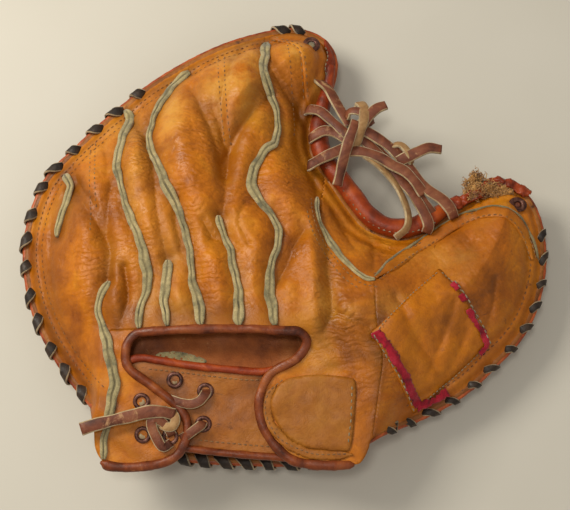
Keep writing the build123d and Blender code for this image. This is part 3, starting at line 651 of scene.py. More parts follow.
red = leather("red_leather", (74, 26, 10), (142, 52, 16), (182, 84, 30), scuff=(196, 150, 110), scuff_from=0.7,
              patch=60.0, grain=0.8, offset=0.4, rough=(0.32, 0.5))
rim_red = leather("rim_red_leather", (96, 40, 18), (160, 72, 30), (192, 98, 46), scuff=(70, 40, 24),
                  scuff_from=0.6, patch=90.0, grain=0.8, offset=0.9)
brown = leather("brown_binding", (70, 28, 12), (122, 56, 22), (158, 86, 38), scuff=(176, 112, 66), patch=70.0,
                grain=0.8, offset=1.1, rough=(0.34, 0.5))
lining = leather("lining_leather", (116, 58, 24), (156, 84, 36), (180, 110, 58), scuff=(192, 136, 84),
                 scuff_from=0.6, patch=30.0, offset=5.1, rough=(0.5, 0.75))
lace_mat = leather("rawhide_lace", (74, 36, 22), (116, 62, 40), (142, 88, 58), scuff=(164, 122, 84),
                   scuff_from=0.6, patch=85.0, offset=1.9, rough=(0.42, 0.66))
lace_pale = leather("rawhide_lace_pale", (120, 84, 50), (160, 122, 78), (186, 150, 104), patch=85.0, offset=2.3,
                    rough=(0.5, 0.7))
dark_lace = leather("dark_lace", (22, 16, 12), (42, 31, 24), (66, 50, 38), scuff=(120, 98, 72), scuff_from=0.66,
                    patch=120.0, offset=2.5, rough=(0.4, 0.62))


def fuzzy(name, dark, base, light, scale=900.0, sheen=0.3, patch=60.0, depth=0.0008):
    """Raw leather edge, suede, felt or thread: matt and fibrous."""
    g = Graph(name)
    cloud = g.noise(patch, 5.0, 0.6, 0.4)
    colour = g.ramp(cloud, (0.32, rgb(*dark)), (0.5, rgb(*base)), (0.7, rgb(*light)))
    fibre = g.noise(scale, 6.0, 0.7, 1.0)
    colour = g.mix(0.6, colour, g.ramp(fibre, (0.35, (0.5, 0.48, 0.45, 1)), (0.6, (1, 1, 1, 1))), "MULTIPLY")
    normal = g.bump(fibre, 0.5, depth)
    return g.finish(colour, g.spread(fibre, 0.3, 0.7, 0.75, 0.95), normal, 0.25, sheen)


raw_edge = fuzzy("rawhide_edge", (134, 110, 74), (178, 154, 114), (204, 184, 146), patch=130.0)
raw_edge_dark = fuzzy("rawhide_edge_dark", (96, 78, 56), (150, 128, 96), (188, 168, 132), patch=110.0)
suede = fuzzy("welt_suede", (112, 106, 80), (164, 150, 108), (192, 174, 126), patch=130.0)
suede_dark = fuzzy("welt_suede_seam", (88, 80, 58), (128, 116, 82), (156, 140, 100), patch=110.0)
felt = fuzzy("felt_padding", (150, 140, 122), (186, 176, 156), (206, 198, 180), scale=500.0, depth=0.0012)
stuffing_mat = fuzzy("frayed_stuffing", (132, 86, 40), (184, 132, 70), (214, 168, 100), patch=140.0)
thread = fuzzy("thread", (104, 66, 34), (140, 98, 54), (164, 124, 74), scale=1600.0, depth=0.0003)
thread_grey = fuzzy("thread_grey", (110, 100, 78), (146, 136, 108), (170, 160, 132), scale=1600.0, depth=0.0003)
thread_dark = fuzzy("thread_dark", (92, 54, 22), (124, 76, 32), (150, 100, 50), scale=1600.0, depth=0.0003)
crimson = fuzzy("crimson_edging", (104, 8, 26), (160, 14, 38), (184, 40, 60), patch=160.0, sheen=0.15)


def metal(name, dark, base, light):
    """Tarnished, worn metal."""
    g = Graph(name)
    tarnish = g.noise(260.0, 6.0, 0.7, 0.8)
    colour = g.ramp(tarnish, (0.35, rgb(*dark)), (0.52, rgb(*base)), (0.7, rgb(*light)))
    normal = g.bump(g.noise(900.0, 4.0, 0.6), 0.2, 0.0003)
    return g.finish(colour, g.spread(tarnish, 0.3, 0.7, 0.28, 0.55), normal, 0.5, 0.0, 0.55)


eyelet_mat = metal("eyelet_metal", (46, 26, 22), (88, 50, 40), (138, 100, 84))


# ---- camera, floor and light ----
FLOOR_GAP = 0.0002
FLOOR_HALF = 3.0
TARGET = Vector((0.0, -0.011, 0.030))
CAMERA_DISTANCE = 0.720
ELEVATION = math.radians(76)
floor_graph = Graph("pale_paper")
paper = floor_graph.noise(6.0, 3.0, 0.5)
floor_graph.finish(floor_graph.ramp(paper, (0.35, rgb(196, 191, 179)), (0.65, rgb(201, 196, 185))),
                   floor_graph.spread(paper, 0.3, 0.7, 0.6, 0.7), specular=0.2)
bm = bmesh.new()
bmesh.ops.create_grid(bm, x_segments=2, y_segments=2, size=FLOOR_HALF)
floor_mesh = bpy.data.meshes.new("floor")
bm.to_mesh(floor_mesh)
bm.free()
floor = bpy.data.objects.new("floor", floor_mesh)
bpy.context.collection.objects.link(floor)
floor.location.z = cad_low.z - FLOOR_GAP
floor_mesh.materials.append(floor_graph.mat)

camera_data = bpy.data.cameras.new("camera")
camera_data.lens = 78.0
camera_data.sensor_width = 36.0
camera = bpy.data.objects.new("camera", camera_data)
bpy.context.collection.objects.link(camera)
camera.location = TARGET + CAMERA_DISTANCE * Vector((0, -math.cos(ELEVATION), math.sin(ELEVATION)))
camera.rotation_euler = (TARGET - camera.location).to_track_quat("-Z", "Y").to_euler()
bpy.context.scene.camera = camera


def area_light(name, place, size, power, colour):
    """A square lamp that looks at the middle of the mitt."""
    data = bpy.data.lights.new(name, "AREA")
    data.size = size
    data.energy = power
    data.color = colour
    light = bpy.data.objects.new(name, data)
    bpy.context.collection.objects.link(light)
    light.location = place
    light.rotation_euler = (Vector((0, 0, 0.02)) - light.location).to_track_quat("-Z", "Y").to_euler()


area_light("key", (-0.52, 0.26, 0.66), 0.36, 6.0, (1.0, 0.95, 0.84))
area_light("flash", (-0.10, -0.12, 1.2), 0.16, 2.6, (1.0, 0.97, 0.90))
area_light("fill", (0.6, -0.9, 0.9), 1.2, 1.6, (1.0, 0.98, 0.95))
world = bpy.data.worlds.new("studio")
world.use_nodes = True
world.node_tree.nodes["Background"].inputs["Color"].default_value = (1.0, 0.95, 0.86, 1)
world.node_tree.nodes["Background"].inputs["Strength"].default_value = 0.36
bpy.context.scene.world = world
bpy.context.scene.view_settings.view_transform = "Standard"


# ---- the hide of the back, cut into its panels ----
OUTLINE = RIM[4:-1] + [(46, -124), (43, -130), (38, -133), (18, -133)] + BINDING[::-1] + [
    (-100, -131), (-104, -124), (-105.5, -112), (-112, -96)]
GUSSET = [
    (20, 9), (24, -2), (31, -14), (37, -24), (45, -30), (50, -31), (60, -23), (72, -12), (83, -5), (94, 4),
    (105, 11), (117, 15), (128, 14), (137, 10), (144, 1), (147, -10), (170, -10), (170, 70), (60, 70),
    (24, 40),
]
BREAK_SEAM = [(50, -31), (51, -59), (54, -76), (51, -98), (45, -140)]
HEEL_EDGE = [(-98, -60), (-96, -78), (-94, -89), (-95, -98), (-97, -108), (-99, -118), (-99, -140)]


def seam_x(route, y):
    """Where a seam runs across the plan at y."""
    pts = np.array(sorted(route, key=lambda p: p[1]))
    return np.interp(y, pts[:, 1], pts[:, 0])


# soft round patches: centre x, centre y, radius x, radius y, strength
# dark patches: partly dirt, partly painted shade in hollows and beside raised parts
GRIME_AND_SHADE = [
    (-45, -52, 45, 9, 0.5), (24, -60, 24, 14, 0.2), (28, 20, 5, 20, 0.2), (52, -58, 9, 30, 0.35),
    (-100, -42, 8, 22, 0.35), (120, -30, 22, 16, 0.3), (-134, -40, 9, 40, 0.3), (30, 96, 6, 14, 0.3),
    (5, 62, 7, 26, 0.35), (-125, 10, 9, 18, 0.3), (100, 14, 30, 7, 0.15),
]
# pale patches: partly lighter rubbed leather, partly painted highlight on bulges and painted light over shaded
# spots
PALE_AND_HIGHLIGHT = [
    (-26, 96, 12, 26, 0.9), (-66, 70, 8, 26, 0.8), (-42, 88, 10, 26, 0.5), (-100, 60, 12, 12, 0.5),
    (4, 112, 9, 9, 0.7), (-20, -30, 12, 16, 0.3), (90, -15, 22, 9, 0.45), (22, -42, 8, 24, 0.5),
    (52, 2, 9, 9, 0.6), (34, 16, 6, 16, 0.3), (-86, 30, 6, 30, 0.4), (22, 92, 5, 8, 0.9),
    (34, -50, 9, 5, 0.5), (60, -45, 10, 8, 0.4), (-62, -20, 8, 20, 0.35),
]
WRINKLED = [
    (-50, 52, 12, 20, 0.7), (-84, 44, 8, 20, 0.75), (4, 30, 12, 24, 0.55), (-18, 26, 8, 16, 0.6),
    (-55, 10, 8, 14, 0.5), (34, -62, 18, 14, 0.5), (24, -30, 12, 24, 0.45), (40, -90, 9, 16, 0.3),
    (-108, -20, 12, 30, 0.4), (60, -75, 9, 20, 0.6), (-40, -30, 12, 18, 0.5), (-82, -14, 10, 20, 0.5),
    (60, -6, 16, 14, 0.4), (-8, 80, 10, 22, 0.5),
]


def blobs(x, y, spots):
    """Sum of soft round patches."""
    total = np.zeros(np.shape(x))
    for cx, cy, rx, ry, strength in spots:
        total += strength * np.exp(-(((x - cx) / rx) ** 2 + ((y - cy) / ry) ** 2))
    return total


def grime_and_shade_at(x, y):
    """Darkening that is partly dirt and partly painted shade: worn patches, the crease valleys, the grooves
    beside the welts and the finger side of the rim.
    """
    amount = blobs(x, y, GRIME_AND_SHADE)
    for route in WELT_LINES.values():
        # darker in the grooves beside the welts: dirt and painted shade
        amount += 0.5 * np.exp(-(path_distance(x, y, route) / 4.2) ** 2)
    # painted shade in the crease valleys
    amount += 0.10 * np.clip(-bumps(x, y, CREASES), 0, 4)
    edge_gap = path_distance(x, y, rim_line, closed=True)
    amount += 0.3 * np.exp(-((edge_gap - 6.0) / 4.0) ** 2) * step01((30 - x) / 20)
    return np.clip(amount, 0, 0.95)


def paint_wear(obj, x, y):
    """The attributes that the tan leathers read: dirt with painted shade, paler leather with painted highlight,
    and wrinkles.
    """
    paint(obj, "grime_and_shade", grime_and_shade_at(x, y))
    paint(obj, "pale_and_highlight", np.clip(blobs(x, y, PALE_AND_HIGHLIGHT), 0, 1))
    paint(obj, "wrinkle", np.clip(blobs(x, y, WRINKLED), 0, 1))


outline = smooth(OUTLINE, 1.6, closed=True)
gusset_line = smooth(GUSSET[:16], 1.3)
break_line = smooth(BREAK_SEAM, 1.3)
heel_line = smooth(HEEL_EDGE, 1.3)
plan, plan_faces = plan_mesh(outline, 1.35, (gusset_line, break_line[3:], heel_line,
                                             *(smooth(WELTS[k], 1.3) for k in ("welt_little", "welt_ring",
                                                                               "welt_index"))))
plan_z = back_z(plan[:, 0], plan[:, 1])
hide_points = np.column_stack([plan, plan_z])
hide_normals = np.column_stack([
    back_z(plan[:, 0] - 0.5, plan[:, 1]) - back_z(plan[:, 0] + 0.5, plan[:, 1]),
    back_z(plan[:, 0], plan[:, 1] - 0.5) - back_z(plan[:, 0], plan[:, 1] + 0.5), np.ones(len(plan))])
hide_normals /= np.linalg.norm(hide_normals, axis=1)[:, None]
centre = plan[plan_faces].mean(axis=1)
cx, cy = centre[:, 0], centre[:, 1]
panel = np.full(len(centre), 3)
panel[cx < seam_x(smooth(WELTS["welt_index"], 1.3), cy)] = 2
panel[cx < seam_x(smooth(WELTS["welt_ring"], 1.3), cy)] = 1
panel[cx < seam_x(smooth(WELTS["welt_little"], 1.3), cy)] = 0
panel[inside(cx, cy, np.vstack([gusset_line, GUSSET[16:]]))] = 4
panel[(cy <= -31) & (cx > seam_x(break_line, cy))] = 5
panel[(cy > -31) & (cx > 45) & (panel == 3)] = 5
panel[(cy < WRIST_Y) & (cx < -80)] = 0
panel[(cy < WRIST_Y) & (cx < -50) & (cx > seam_x(heel_line, cy))] = 6
panel[(cy < WRIST_Y) & (cx > -20) & (panel < 3)] = 3

HIDES = [
    ("outer_hide", tan, FINGERS, ("back_panel_outer",)),
    ("ring_hide", tan_ring, FINGERS, ("back_panel_ring",)),
    ("middle_hide", tan, FINGERS, ("back_panel_middle",)),
    ("index_hide", tan, "both", ("back_panel_index", "heel_flap_right")),
    ("gusset_hide", tan, "both", ("crotch_gusset_index", "crotch_gusset")),
    ("thumb_hide", tan_thumb, "both", ("thumb_back_panel",)),
    ("flap_left_hide", tan, FINGERS, ("heel_flap_left",)),
]
for number, (name, material, where, nodes) in enumerate(HIDES):
    chosen = plan_faces[panel == number]
    used, index = np.unique(chosen, return_inverse=True)
    hide = mesh_piece(name, hide_points[used], index.reshape(-1, 3), material)
    hide.data.normals_split_custom_set_from_vertices(hide_normals[used].tolist())
    paint_wear(hide, plan[used, 0], plan[used, 1])
    dress(hide, where, nodes, 2.0)

# ---- the rim, where the palm and the back are laced together ----
rim_fine = smooth(RIM, 2.0, closed=True)
rim_x, rim_y = rim_fine.T
under_flap = inside(rim_x, rim_y, LEFT_FLAP) | inside(rim_x, rim_y, RIGHT_FLAP)
under_strap = (rim_y < -118) & (rim_x < 20) & (rim_x > -70)
rim_height = np.where(under_flap | under_strap, RIM_Z, back_z(rim_x, rim_y) - 0.4)
window = np.hanning(11)
window /= window.sum()
rim_height = np.convolve(np.r_[rim_height[-5:], rim_height, rim_height[:5]], window, "valid")


def rim_at(x, y):
    """Height of the rim beside points in plan."""
    flat_x, flat_y = np.ravel(x), np.ravel(y)
    gaps = (flat_x[:, None] - rim_fine[None, :, 0]) ** 2 + (flat_y[:, None] - rim_fine[None, :, 1]) ** 2
    weight = 1 / (gaps + 4.0) ** 2
    return (weight @ rim_height / weight.sum(axis=1)).reshape(np.shape(x))


rim_points = np.column_stack([rim_fine, rim_height])
rim_out = np.column_stack([np.gradient(rim_fine[:, 1]), -np.gradient(rim_fine[:, 0])])
rim_out[0], rim_out[-1] = rim_out[1], rim_out[-2]
rim_out /= np.linalg.norm(rim_out, axis=1)[:, None]
if inside(*(rim_fine[50] + 3 * rim_out[50])[:, None], rim_fine)[0]:
    rim_out = -rim_out

rim_shape = [
    (-2.0, -1.2), (0.0, -1.7), (1.0, -1.1), (1.3, 0.0), (0.9, 0.9), (-0.3, 1.2), (-2.2, 0.8), (-3.2, 0),
]
count, ring = len(rim_points), len(rim_shape)
steps = np.arange(count)
rim_size = 1 + 0.10 * np.sin(steps * 1.9) * np.sin(steps * 0.37)
rim_verts = np.array([[p[0] + o[0] * u * k, p[1] + o[1] * u * k, p[2] + v * k]
                      for p, o, k in zip(rim_points, rim_out, rim_size) for u, v in rim_shape])
rim_band = mesh_piece("rim_edge", rim_verts, tube_faces(0, count, ring, closed=True), rim_red)
dress(turn_outwards(rim_band), "both", ("rim_strip", "thumb_rim_strip"))

# ---- the palm ----
POCKET = (12, -22)
POCKET_RADIUS = 44.0
POCKET_DEPTH = 15.0


def palm_z(x, y):
    """Underside of the palm hide: flat where it rests, with the ball pocket pressed in."""
    gap = path_distance(x, y, rim_fine, closed=True)
    gap = np.where(inside(x, y, rim_fine), gap, 0)
    full = 1 - np.exp(-(np.clip(gap - 0.5, 0, None) / 17.0) ** 1.7)
    z = (rim_at(x, y) - 0.6) * (1 - full)
    dish = step01(1 - np.hypot(x - POCKET[0], y - POCKET[1]) / POCKET_RADIUS)
    z += POCKET_DEPTH * dish * full
    folds = np.exp(-(waves(x, y, 13, seed=22) / 0.3) ** 2) * step01(gap / 20 - 0.5)
    z += full * (0.35 + 0.25 * np.abs(waves(x, y, 16, seed=21)) + 0.25 * folds)
    return np.clip(z, 0.02, None)


palm_plan, palm_faces = plan_mesh(rim_fine, 2.4)
palm_points = np.column_stack([palm_plan, palm_z(palm_plan[:, 0], palm_plan[:, 1])])
palm_hide = mesh_piece("palm_hide", palm_points, palm_faces[:, ::-1], palm_mat)
dress(palm_hide, "both", ("palm_leather", "thumb_palm_leather"), 2.2)


def dense(corners, step=6.0):
    """Straight sides between corners, so that a smoothed loop keeps them."""
    out = []
    for a, b in zip(corners, corners[1:] + corners[:1]):
        n = max(1, int(math.dist(a, b) / step))
        out += [(a[0] + (b[0] - a[0]) * i / n, a[1] + (b[1] - a[1]) * i / n) for i in range(n)]
    return out


# ---- stuffing and linings between the hides ----
def layer(name, loop, top, bottom, spacing, material, slot, where, nodes=(), fill=None):
    """A closed piece between two heights over an outline, with its sides drawn in."""
    loop = smooth(loop, spacing, closed=True)
    points, faces = plan_mesh(loop, spacing)
    x, y = points[:, 0], points[:, 1]
    gap = path_distance(x, y, loop, closed=True)
    low, high = bottom(x, y), top(x, y)
    high = np.maximum(high, low + 0.8)
    middle = (low + high) / 2
    round_off = np.sqrt(np.clip(1 - (1 - np.clip(gap / 5.0, 0, 1)) ** 2, 0, 1)) * 0.75 + 0.25
    high, low = middle + (high - middle) * round_off, middle + (low - middle) * round_off
    total = len(points)
    edge = len(loop)
    side = [((i + 1) % edge, i, i + total, (i + 1) % edge + total) for i in range(edge)]
    verts = np.vstack([np.column_stack([points, high]), np.column_stack([points, low])])
    all_faces = [tuple(f) for f in faces] + [tuple(f[::-1] + total) for f in faces] + side
    obj = dress(turn_outwards(mesh_piece(name, verts, all_faces, material)), where, nodes)


def inset_loop(distance, side):
    """The rim drawn inwards, on one side of the break."""
    loop = rim_fine[::3] - distance * rim_out[::3]
    good = (loop[:, 0] < 48) if side < 0 else (loop[:, 0] > 58)
    good &= path_distance(loop[:, 0], loop[:, 1], rim_fine, closed=True) > distance * 0.93
    return loop[good]


def filled(loop):
    """Even points along straight sides, so that a smoothed loop stays inside them."""
    return dense([tuple(p) for p in loop], 4.0)


def flat(height):
    """The same height everywhere."""
    return lambda x, y: np.full(np.shape(x), height)


def rippled(height, depth, seed):
    """A height with slow waves."""
    return lambda x, y: height + depth * waves(x, y, 22, seed=seed)


def below_back(gap):
    """A gap under the back hide."""
    return lambda x, y: back_z(x, y) - gap


def above_palm(x, y):
    """Just over the palm hide."""
    return palm_z(x, y) + 2.8


def below_flaps(x, y):
    """Just under the heel flaps."""
    return wrist_plane(y) - 1.4


PALM_SPLIT = -86.0
BACK_PAD_END = -58
fingers_loop = inset_loop(9.0, -1)
thumb_loop = filled(inset_loop(9.0, 1))
back_loop = inset_loop(14.0, -1)
back_corners = [[46, BACK_PAD_END], [-100, BACK_PAD_END]]
back_loop = np.vstack([back_loop[back_loop[:, 1] > BACK_PAD_END - 2], back_corners])
order = np.argsort(np.arctan2(back_loop[:, 1] - 10, back_loop[:, 0] + 50))
LEFT_WALL = [
    (-104, -64), (-104, -100), (-99, -118), (-90, -124), (-88, -100), (-90, -64),
]
RIGHT_WALL = [
    (15, -64), (14, -112), (20, -126), (38, -127), (46, -112), (49, -92), (48, -64),
]
THUMB_STALL = [(60, -52), (62, -22), (96, -2), (118, 4), (124, -10), (116, -22), (84, -44)]

# name, outline, top, bottom, spacing of points, section, CAD node and, where it is stuffed, how full
PADDING = [
    ("palm_stuffing", filled(fingers_loop[fingers_loop[:, 1] > PALM_SPLIT]), flat(22.0), above_palm, 5.0,
     FINGERS, "palm_pad", 0.8),
    ("heel_stuffing", filled(fingers_loop[fingers_loop[:, 1] < PALM_SPLIT - 1]), flat(24.0), above_palm, 5.0,
     FINGERS, "heel_pad", 0.9),
    ("thumb_palm_stuffing", thumb_loop, flat(22.0), above_palm, 5.0, THUMB, "thumb_palm_pad", 0.8),
    ("palm_lining_sheet", filled(fingers_loop), rippled(25.2, 0.5, 31), rippled(23.9, 0.3, 31), 4.0,
     FINGERS, "hand_lining", None),
    ("thumb_lining_sheet", thumb_loop, rippled(25.2, 0.4, 32), rippled(23.9, 0.2, 32), 4.0,
     THUMB, "thumb_lining", None),
    ("finger_back_stuffing", filled(back_loop[order]), below_back(3.4), below_back(7.0), 4.0,
     FINGERS, "finger_back_pad", 0.5),
    ("thumb_back_stuffing", filled(inset_loop(14.0, 1)), below_back(3.4), below_back(7.0), 4.0,
     THUMB, "thumb_back_pad", 0.5),
    ("heel_wall_left", LEFT_WALL, below_flaps, flat(24.5), 3.0, FINGERS, "heel_block_left", 0.7),
    ("heel_wall_right", RIGHT_WALL, below_flaps, flat(24.5), 3.0, FINGERS, "heel_block_right", 0.7),
    ("thumb_stall_lining_sheet", THUMB_STALL, below_back(7.6), flat(26.5), 4.0,
     THUMB, "thumb_stall_lining", 0.6),
]
for name, loop, top, bottom, spacing, where, node, fill in PADDING:
    if "lining" in name:
        stuff = (lining, "lining_leather")
    elif "wall" in name:
        stuff = (flap_leather, "tan_leather")
    else:
        stuff = (felt, "felt_padding")
    layer(name, loop, top, bottom, spacing, *stuff, where, (node,), fill)

# ---- the leather stalls of the four fingers: left edge, right edge and end ----
STALL_FLOOR = 26.8
STALL_TOP = 44.5
STALLS = [(-87, -69, 35), (-66, -48, 62), (-45, -27, 72), (-24, -6, 60)]
stall_parts = []
for number, (left, right, end) in enumerate(STALLS):
    verts, ring = [], 24
    stations = np.linspace(-20, end - 3, 14)
    for y in stations:
        across = np.linspace(left, right, 7)
        top = min(STALL_TOP, float((back_z(across, np.full(7, y)) - 8.5).min()))
        narrow = 1 - 0.55 * max(0.0, (y - end + 16) / 13) ** 2
        for k in range(ring):
            c = 2 * math.pi * k / ring
            u = math.copysign(abs(math.cos(c)) ** 0.6, math.cos(c)) * narrow
            v = math.copysign(abs(math.sin(c)) ** 0.6, math.sin(c)) * narrow
            verts.append(((left + right) / 2 + u * (right - left) / 2, y,
                          (STALL_FLOOR + top) / 2 + v * (top - STALL_FLOOR) / 2))
    faces = tube_faces(0, len(stations), ring) + end_caps(0, len(stations), ring)[1:]
    stall_parts.append(mesh_piece(f"stall_{number}", verts, faces, lining))
sleeves = join("finger_stall_lining_sleeves", stall_parts)
dress(sleeves, FINGERS, ("finger_stall_linings",), 0.9)


# ---- welts ----
WELT_SHAPE = [(-2.6, -2.2), (-2.9, 0.4), (-2.7, 1.1), (-1.7, 1.5), (-0.6, 1.5), (-0.2, 0.95), (0.2, 0.95),
              (0.6, 1.45), (1.6, 1.45), (2.6, 1.0), (2.9, 0.3), (2.6, -2.2)]
WELT_SLOTS = [0, 0, 0, 0, 1, 1, 1, 0, 0, 0, 0, 0]


def welt(name, path, node, where=FINGERS, size=1.0, proud=0.9):
    """Two plies of suede sewn edge to edge, standing out of the seam."""
    points, normals = lift(path, proud, 1.2)
    along = np.arange(len(points)) * 1.2
    seed = 0.1 * sum(ord(c) for c in name)
    points[:, 0] += 0.35 * np.sin(along / 4.3 + seed) + 0.2 * np.sin(along / 1.9 + seed)
    ends = np.clip(np.minimum(along + 0.8, along[-1] - along + 0.8) / 4.0, 0.25, 1) ** 0.5
    width = size * (1 + 0.2 * np.sin(along / 13.0 + 9 * seed) + 0.1 * np.sin(along / 5.3 + seed)
                    + 0.05 * np.sin(along / 2.3)) * ends
    height = size * (1 + 0.12 * np.sin(along / 5.2 + 2 * seed)) * (0.4 + 0.6 * ends)
    obj = sweep(name, points, normals, WELT_SHAPE, suede, np.column_stack([width, height]), WELT_SLOTS,
                (suede_dark,))
    dress(obj, where, (node,))


for key, route in WELTS.items():
    welt(key + "_suede", route, key, size=0.84)
welt("heel_welt_suede", HEEL_WELT, "heel_welt", size=0.9, proud=0.6)
GUSSET_WELT_SUEDE = [
    (18, 22), (18.5, 12), (20, 5), (24, -4), (31, -15), (38, -24), (45, -30), (51, -31),
]
welt("gusset_welt_suede", GUSSET_WELT_SUEDE, "gusset_welt", "both", 0.55, 0.5)


# ---- stitches ----
def stitch_row(name, paths, material, where, spacing=3.5, size=(2.0, 0.62, 0.4), sink=0.0, on=lift):
    """Sewn threads along routes: one small bent capsule a stitch, of a length, width and height."""
    length, width, height = size
    ring = 6
    along = np.array([-0.5, -0.36, 0.0, 0.36, 0.5]) * length
    thick = np.array([0.35, 0.9, 1.0, 0.9, 0.35])
    arch = np.array([-0.9, -0.1, 0.25, -0.1, -0.9]) * height
    turn = np.arange(ring) * 2 * math.pi / ring
    verts, faces = [], []
    for path in paths:
        points, normals = on(path, sink, spacing)
        tangents = np.gradient(points, axis=0)
        tangents /= np.linalg.norm(tangents, axis=1)[:, None]
        for p, t, n in zip(points[:-1] * 0.5 + points[1:] * 0.5, tangents, normals):
            s = np.cross(t, n)
            n = np.cross(s, t)
            base = len(verts)
            slant = t + s * rng.uniform(-0.12, 0.12)
            for a, k, h in zip(along, thick, arch):
                for c in turn:
                    verts.append(p + slant * a + s * (width / 2 * k * math.cos(c))
                                 + n * (h + height / 2 * k * math.sin(c) + 0.15))
            faces += tube_faces(base, len(along), ring) + end_caps(base, len(along), ring)
    attach(mesh_piece(name, verts, faces, material), where)


def rim_part(distance, wanted):
    """A seam that follows the rim at a distance inside it."""
    return [tuple(p) for p in (rim_fine - distance * rim_out)[::4] if wanted(*p)]


def on_left_rim(x, y):
    """The finger side of the rim, clear of the heel flap."""
    return x < 6 and y > -92 and not (y < -60 and x > -90)


def on_thumb_rim(x, y):
    """The outer side of the thumb."""
    return x > 66 and y < 4 and x - y > 70 and not (x < 140 and y > -20)


stitch_row("rim_stitches_outer", [rim_part(distance, on_left_rim) for distance in (8.0, 12.0)], thread_dark,
           FINGERS, 3.2)
stitch_row("rim_stitches_thumb", [rim_part(9.0, on_thumb_rim)], thread_dark, THUMB, 3.4)
PANEL_STITCHES = [
    [(-116, 57), (-113, 33), (-111, 11), (-110, -4)],
    [(-113, 58), (-110, 34), (-107.5, 11)],
    [(-41, 116), (-38, 79), (-35, 52)],
    [(-37, 117), (-34.5, 79), (-31.5, 50)],
]
stitch_row("panel_stitches", PANEL_STITCHES, thread, FINGERS)


def cord_edge(name, points, ups, radius, material, where, nodes, squash=0.85, uneven=0.05, taper=4.0):
    """A rolled edge, uneven along its length and tapered at both ends."""
    n = len(points)
    along = np.arange(n)
    gen = np.random.default_rng(len(name))
    ripple = np.convolve(gen.standard_normal(n + 6), np.ones(7) / 7, "valid") * uneven * 2.2
    size = 1 + uneven * np.sin(along / 2.3) * np.sin(along / 6.1) + ripple
    size *= 0.3 + 0.7 * step01((np.minimum(along, n - 1 - along) + 0.5) / taper)
    dress(sweep(name, points, ups, round_profile(radius, squash, 16), material, size), where, nodes)


# ---- overlaid leather ----
def overlay(name, loop, offset, thick, material, where, node, spacing=1.6, above=back_z):
    """A patch of leather sewn on top, following what is under it."""
    loop = smooth(loop, spacing, closed=True)
    points, faces = plan_mesh(loop, spacing)
    x, y = points[:, 0], points[:, 1]
    gap = path_distance(x, y, loop, closed=True)
    z = above(x, y) + offset * (0.45 + 0.55 * step01(gap / 2.2))
    z += 0.12 * waves(x, y, 9, seed=41) * step01(gap / 6)
    obj = mesh_piece(name, np.column_stack([points, z]), faces, material)
    if material is tan:
        paint_wear(obj, x, y)
    dress(obj, where, (node,), thick)


TIP_PATCH = [
    (-10, 126), (-2, 121), (6, 115.5), (10, 107), (11.5, 94), (12.5, 84), (17, 80), (22, 84), (25, 92),
    (27, 99), (24.5, 106), (26, 112), (24, 120), (20, 125), (8, 130), (-4, 129.5),
]
overlay("index_tip_patch_leather", TIP_PATCH, 1.5, 1.6, tan, FINGERS, "index_tip_patch")
INDEX_TIP_STITCHES = [
    [(-8, 123.5), (0, 119), (7, 113.5), (9, 106), (10, 94), (11, 84)],
    [(-6, 125.5), (2, 120.5), (9.5, 114.5), (11.5, 106), (12.5, 94), (13.5, 85)],
]
stitch_row("index_tip_stitches", INDEX_TIP_STITCHES, thread, FINGERS, sink=1.2)
TIP_BINDING = [
    (24, 121.5), (26, 113), (24.3, 105), (26, 98), (29.5, 99), (30.5, 108), (30.5, 113), (28, 121), (24.5, 126),
]
overlay("index_tip_binding_red", TIP_BINDING, 3.0, 3.0, red, FINGERS, "index_tip_binding", 1.2)
INDEX_TIP_EDGE_STITCHES = [
    [(23.6, 120), (25, 113), (23.4, 105), (25, 98)],
]
stitch_row("index_tip_edge_stitches", INDEX_TIP_EDGE_STITCHES, thread_grey, FINGERS, spacing=3.0, sink=1.9)

PATCH = [(88, -22), (48, -62), (73, -103), (117, -64)]
overlay("thumb_patch_leather", dense(PATCH), 1.3, 1.5, tan_patch, "both", "thumb_patch")
THUMB_PATCH_STITCHES = [
    [(50, -61.5), (66, -44), (80, -31), (87, -25)],
    [(89, -25), (103, -42), (114, -62)],
    [(113, -66), (96, -82), (76, -99)],
]
stitch_row("thumb_patch_stitches", THUMB_PATCH_STITCHES, thread_grey, "both", spacing=2.4,
           size=(1.6, 0.5, 0.35), sink=1.45)


def ribbon(name, path, width, material, where, nodes, offset, thick, ragged, taper=0.0):
    """A strip of leather or tape laid on the back, its edges wavering and its ends pointed by the taper."""
    points, normals = lift(path, offset, 1.0)
    n = len(points)
    side, _ = frames_along(points, normals)
    along = np.arange(n)
    half = width / 2
    if taper:
        half = half * (0.12 + 0.88 * step01((np.minimum(along, n - 1 - along) + 0.5) / taper))
    left = half + ragged * (0.5 * np.sin(along / 2.1) + 0.5 * rng.standard_normal(n))
    right = half + ragged * (0.5 * np.sin(along / 2.7 + 1) + 0.5 * rng.standard_normal(n))
    across = [-1.0, -0.6, 0.0, 0.6, 1.0]
    verts = np.array([points[i] + side[i] * a * (left[i] if a < 0 else right[i]) - normals[i] * 0.35 * a * a
                      for i in range(n) for a in across])
    k = len(across)
    faces = [(i * k + j, i * k + j + 1, (i + 1) * k + j + 1, (i + 1) * k + j)
             for i in range(n - 1) for j in range(k - 1)]
    obj = mesh_piece(name, verts, faces, material)
    if material is tan_thumb:
        paint_wear(obj, verts[:, 0], verts[:, 1])
    dress(obj, where, nodes, thick, 0.0)


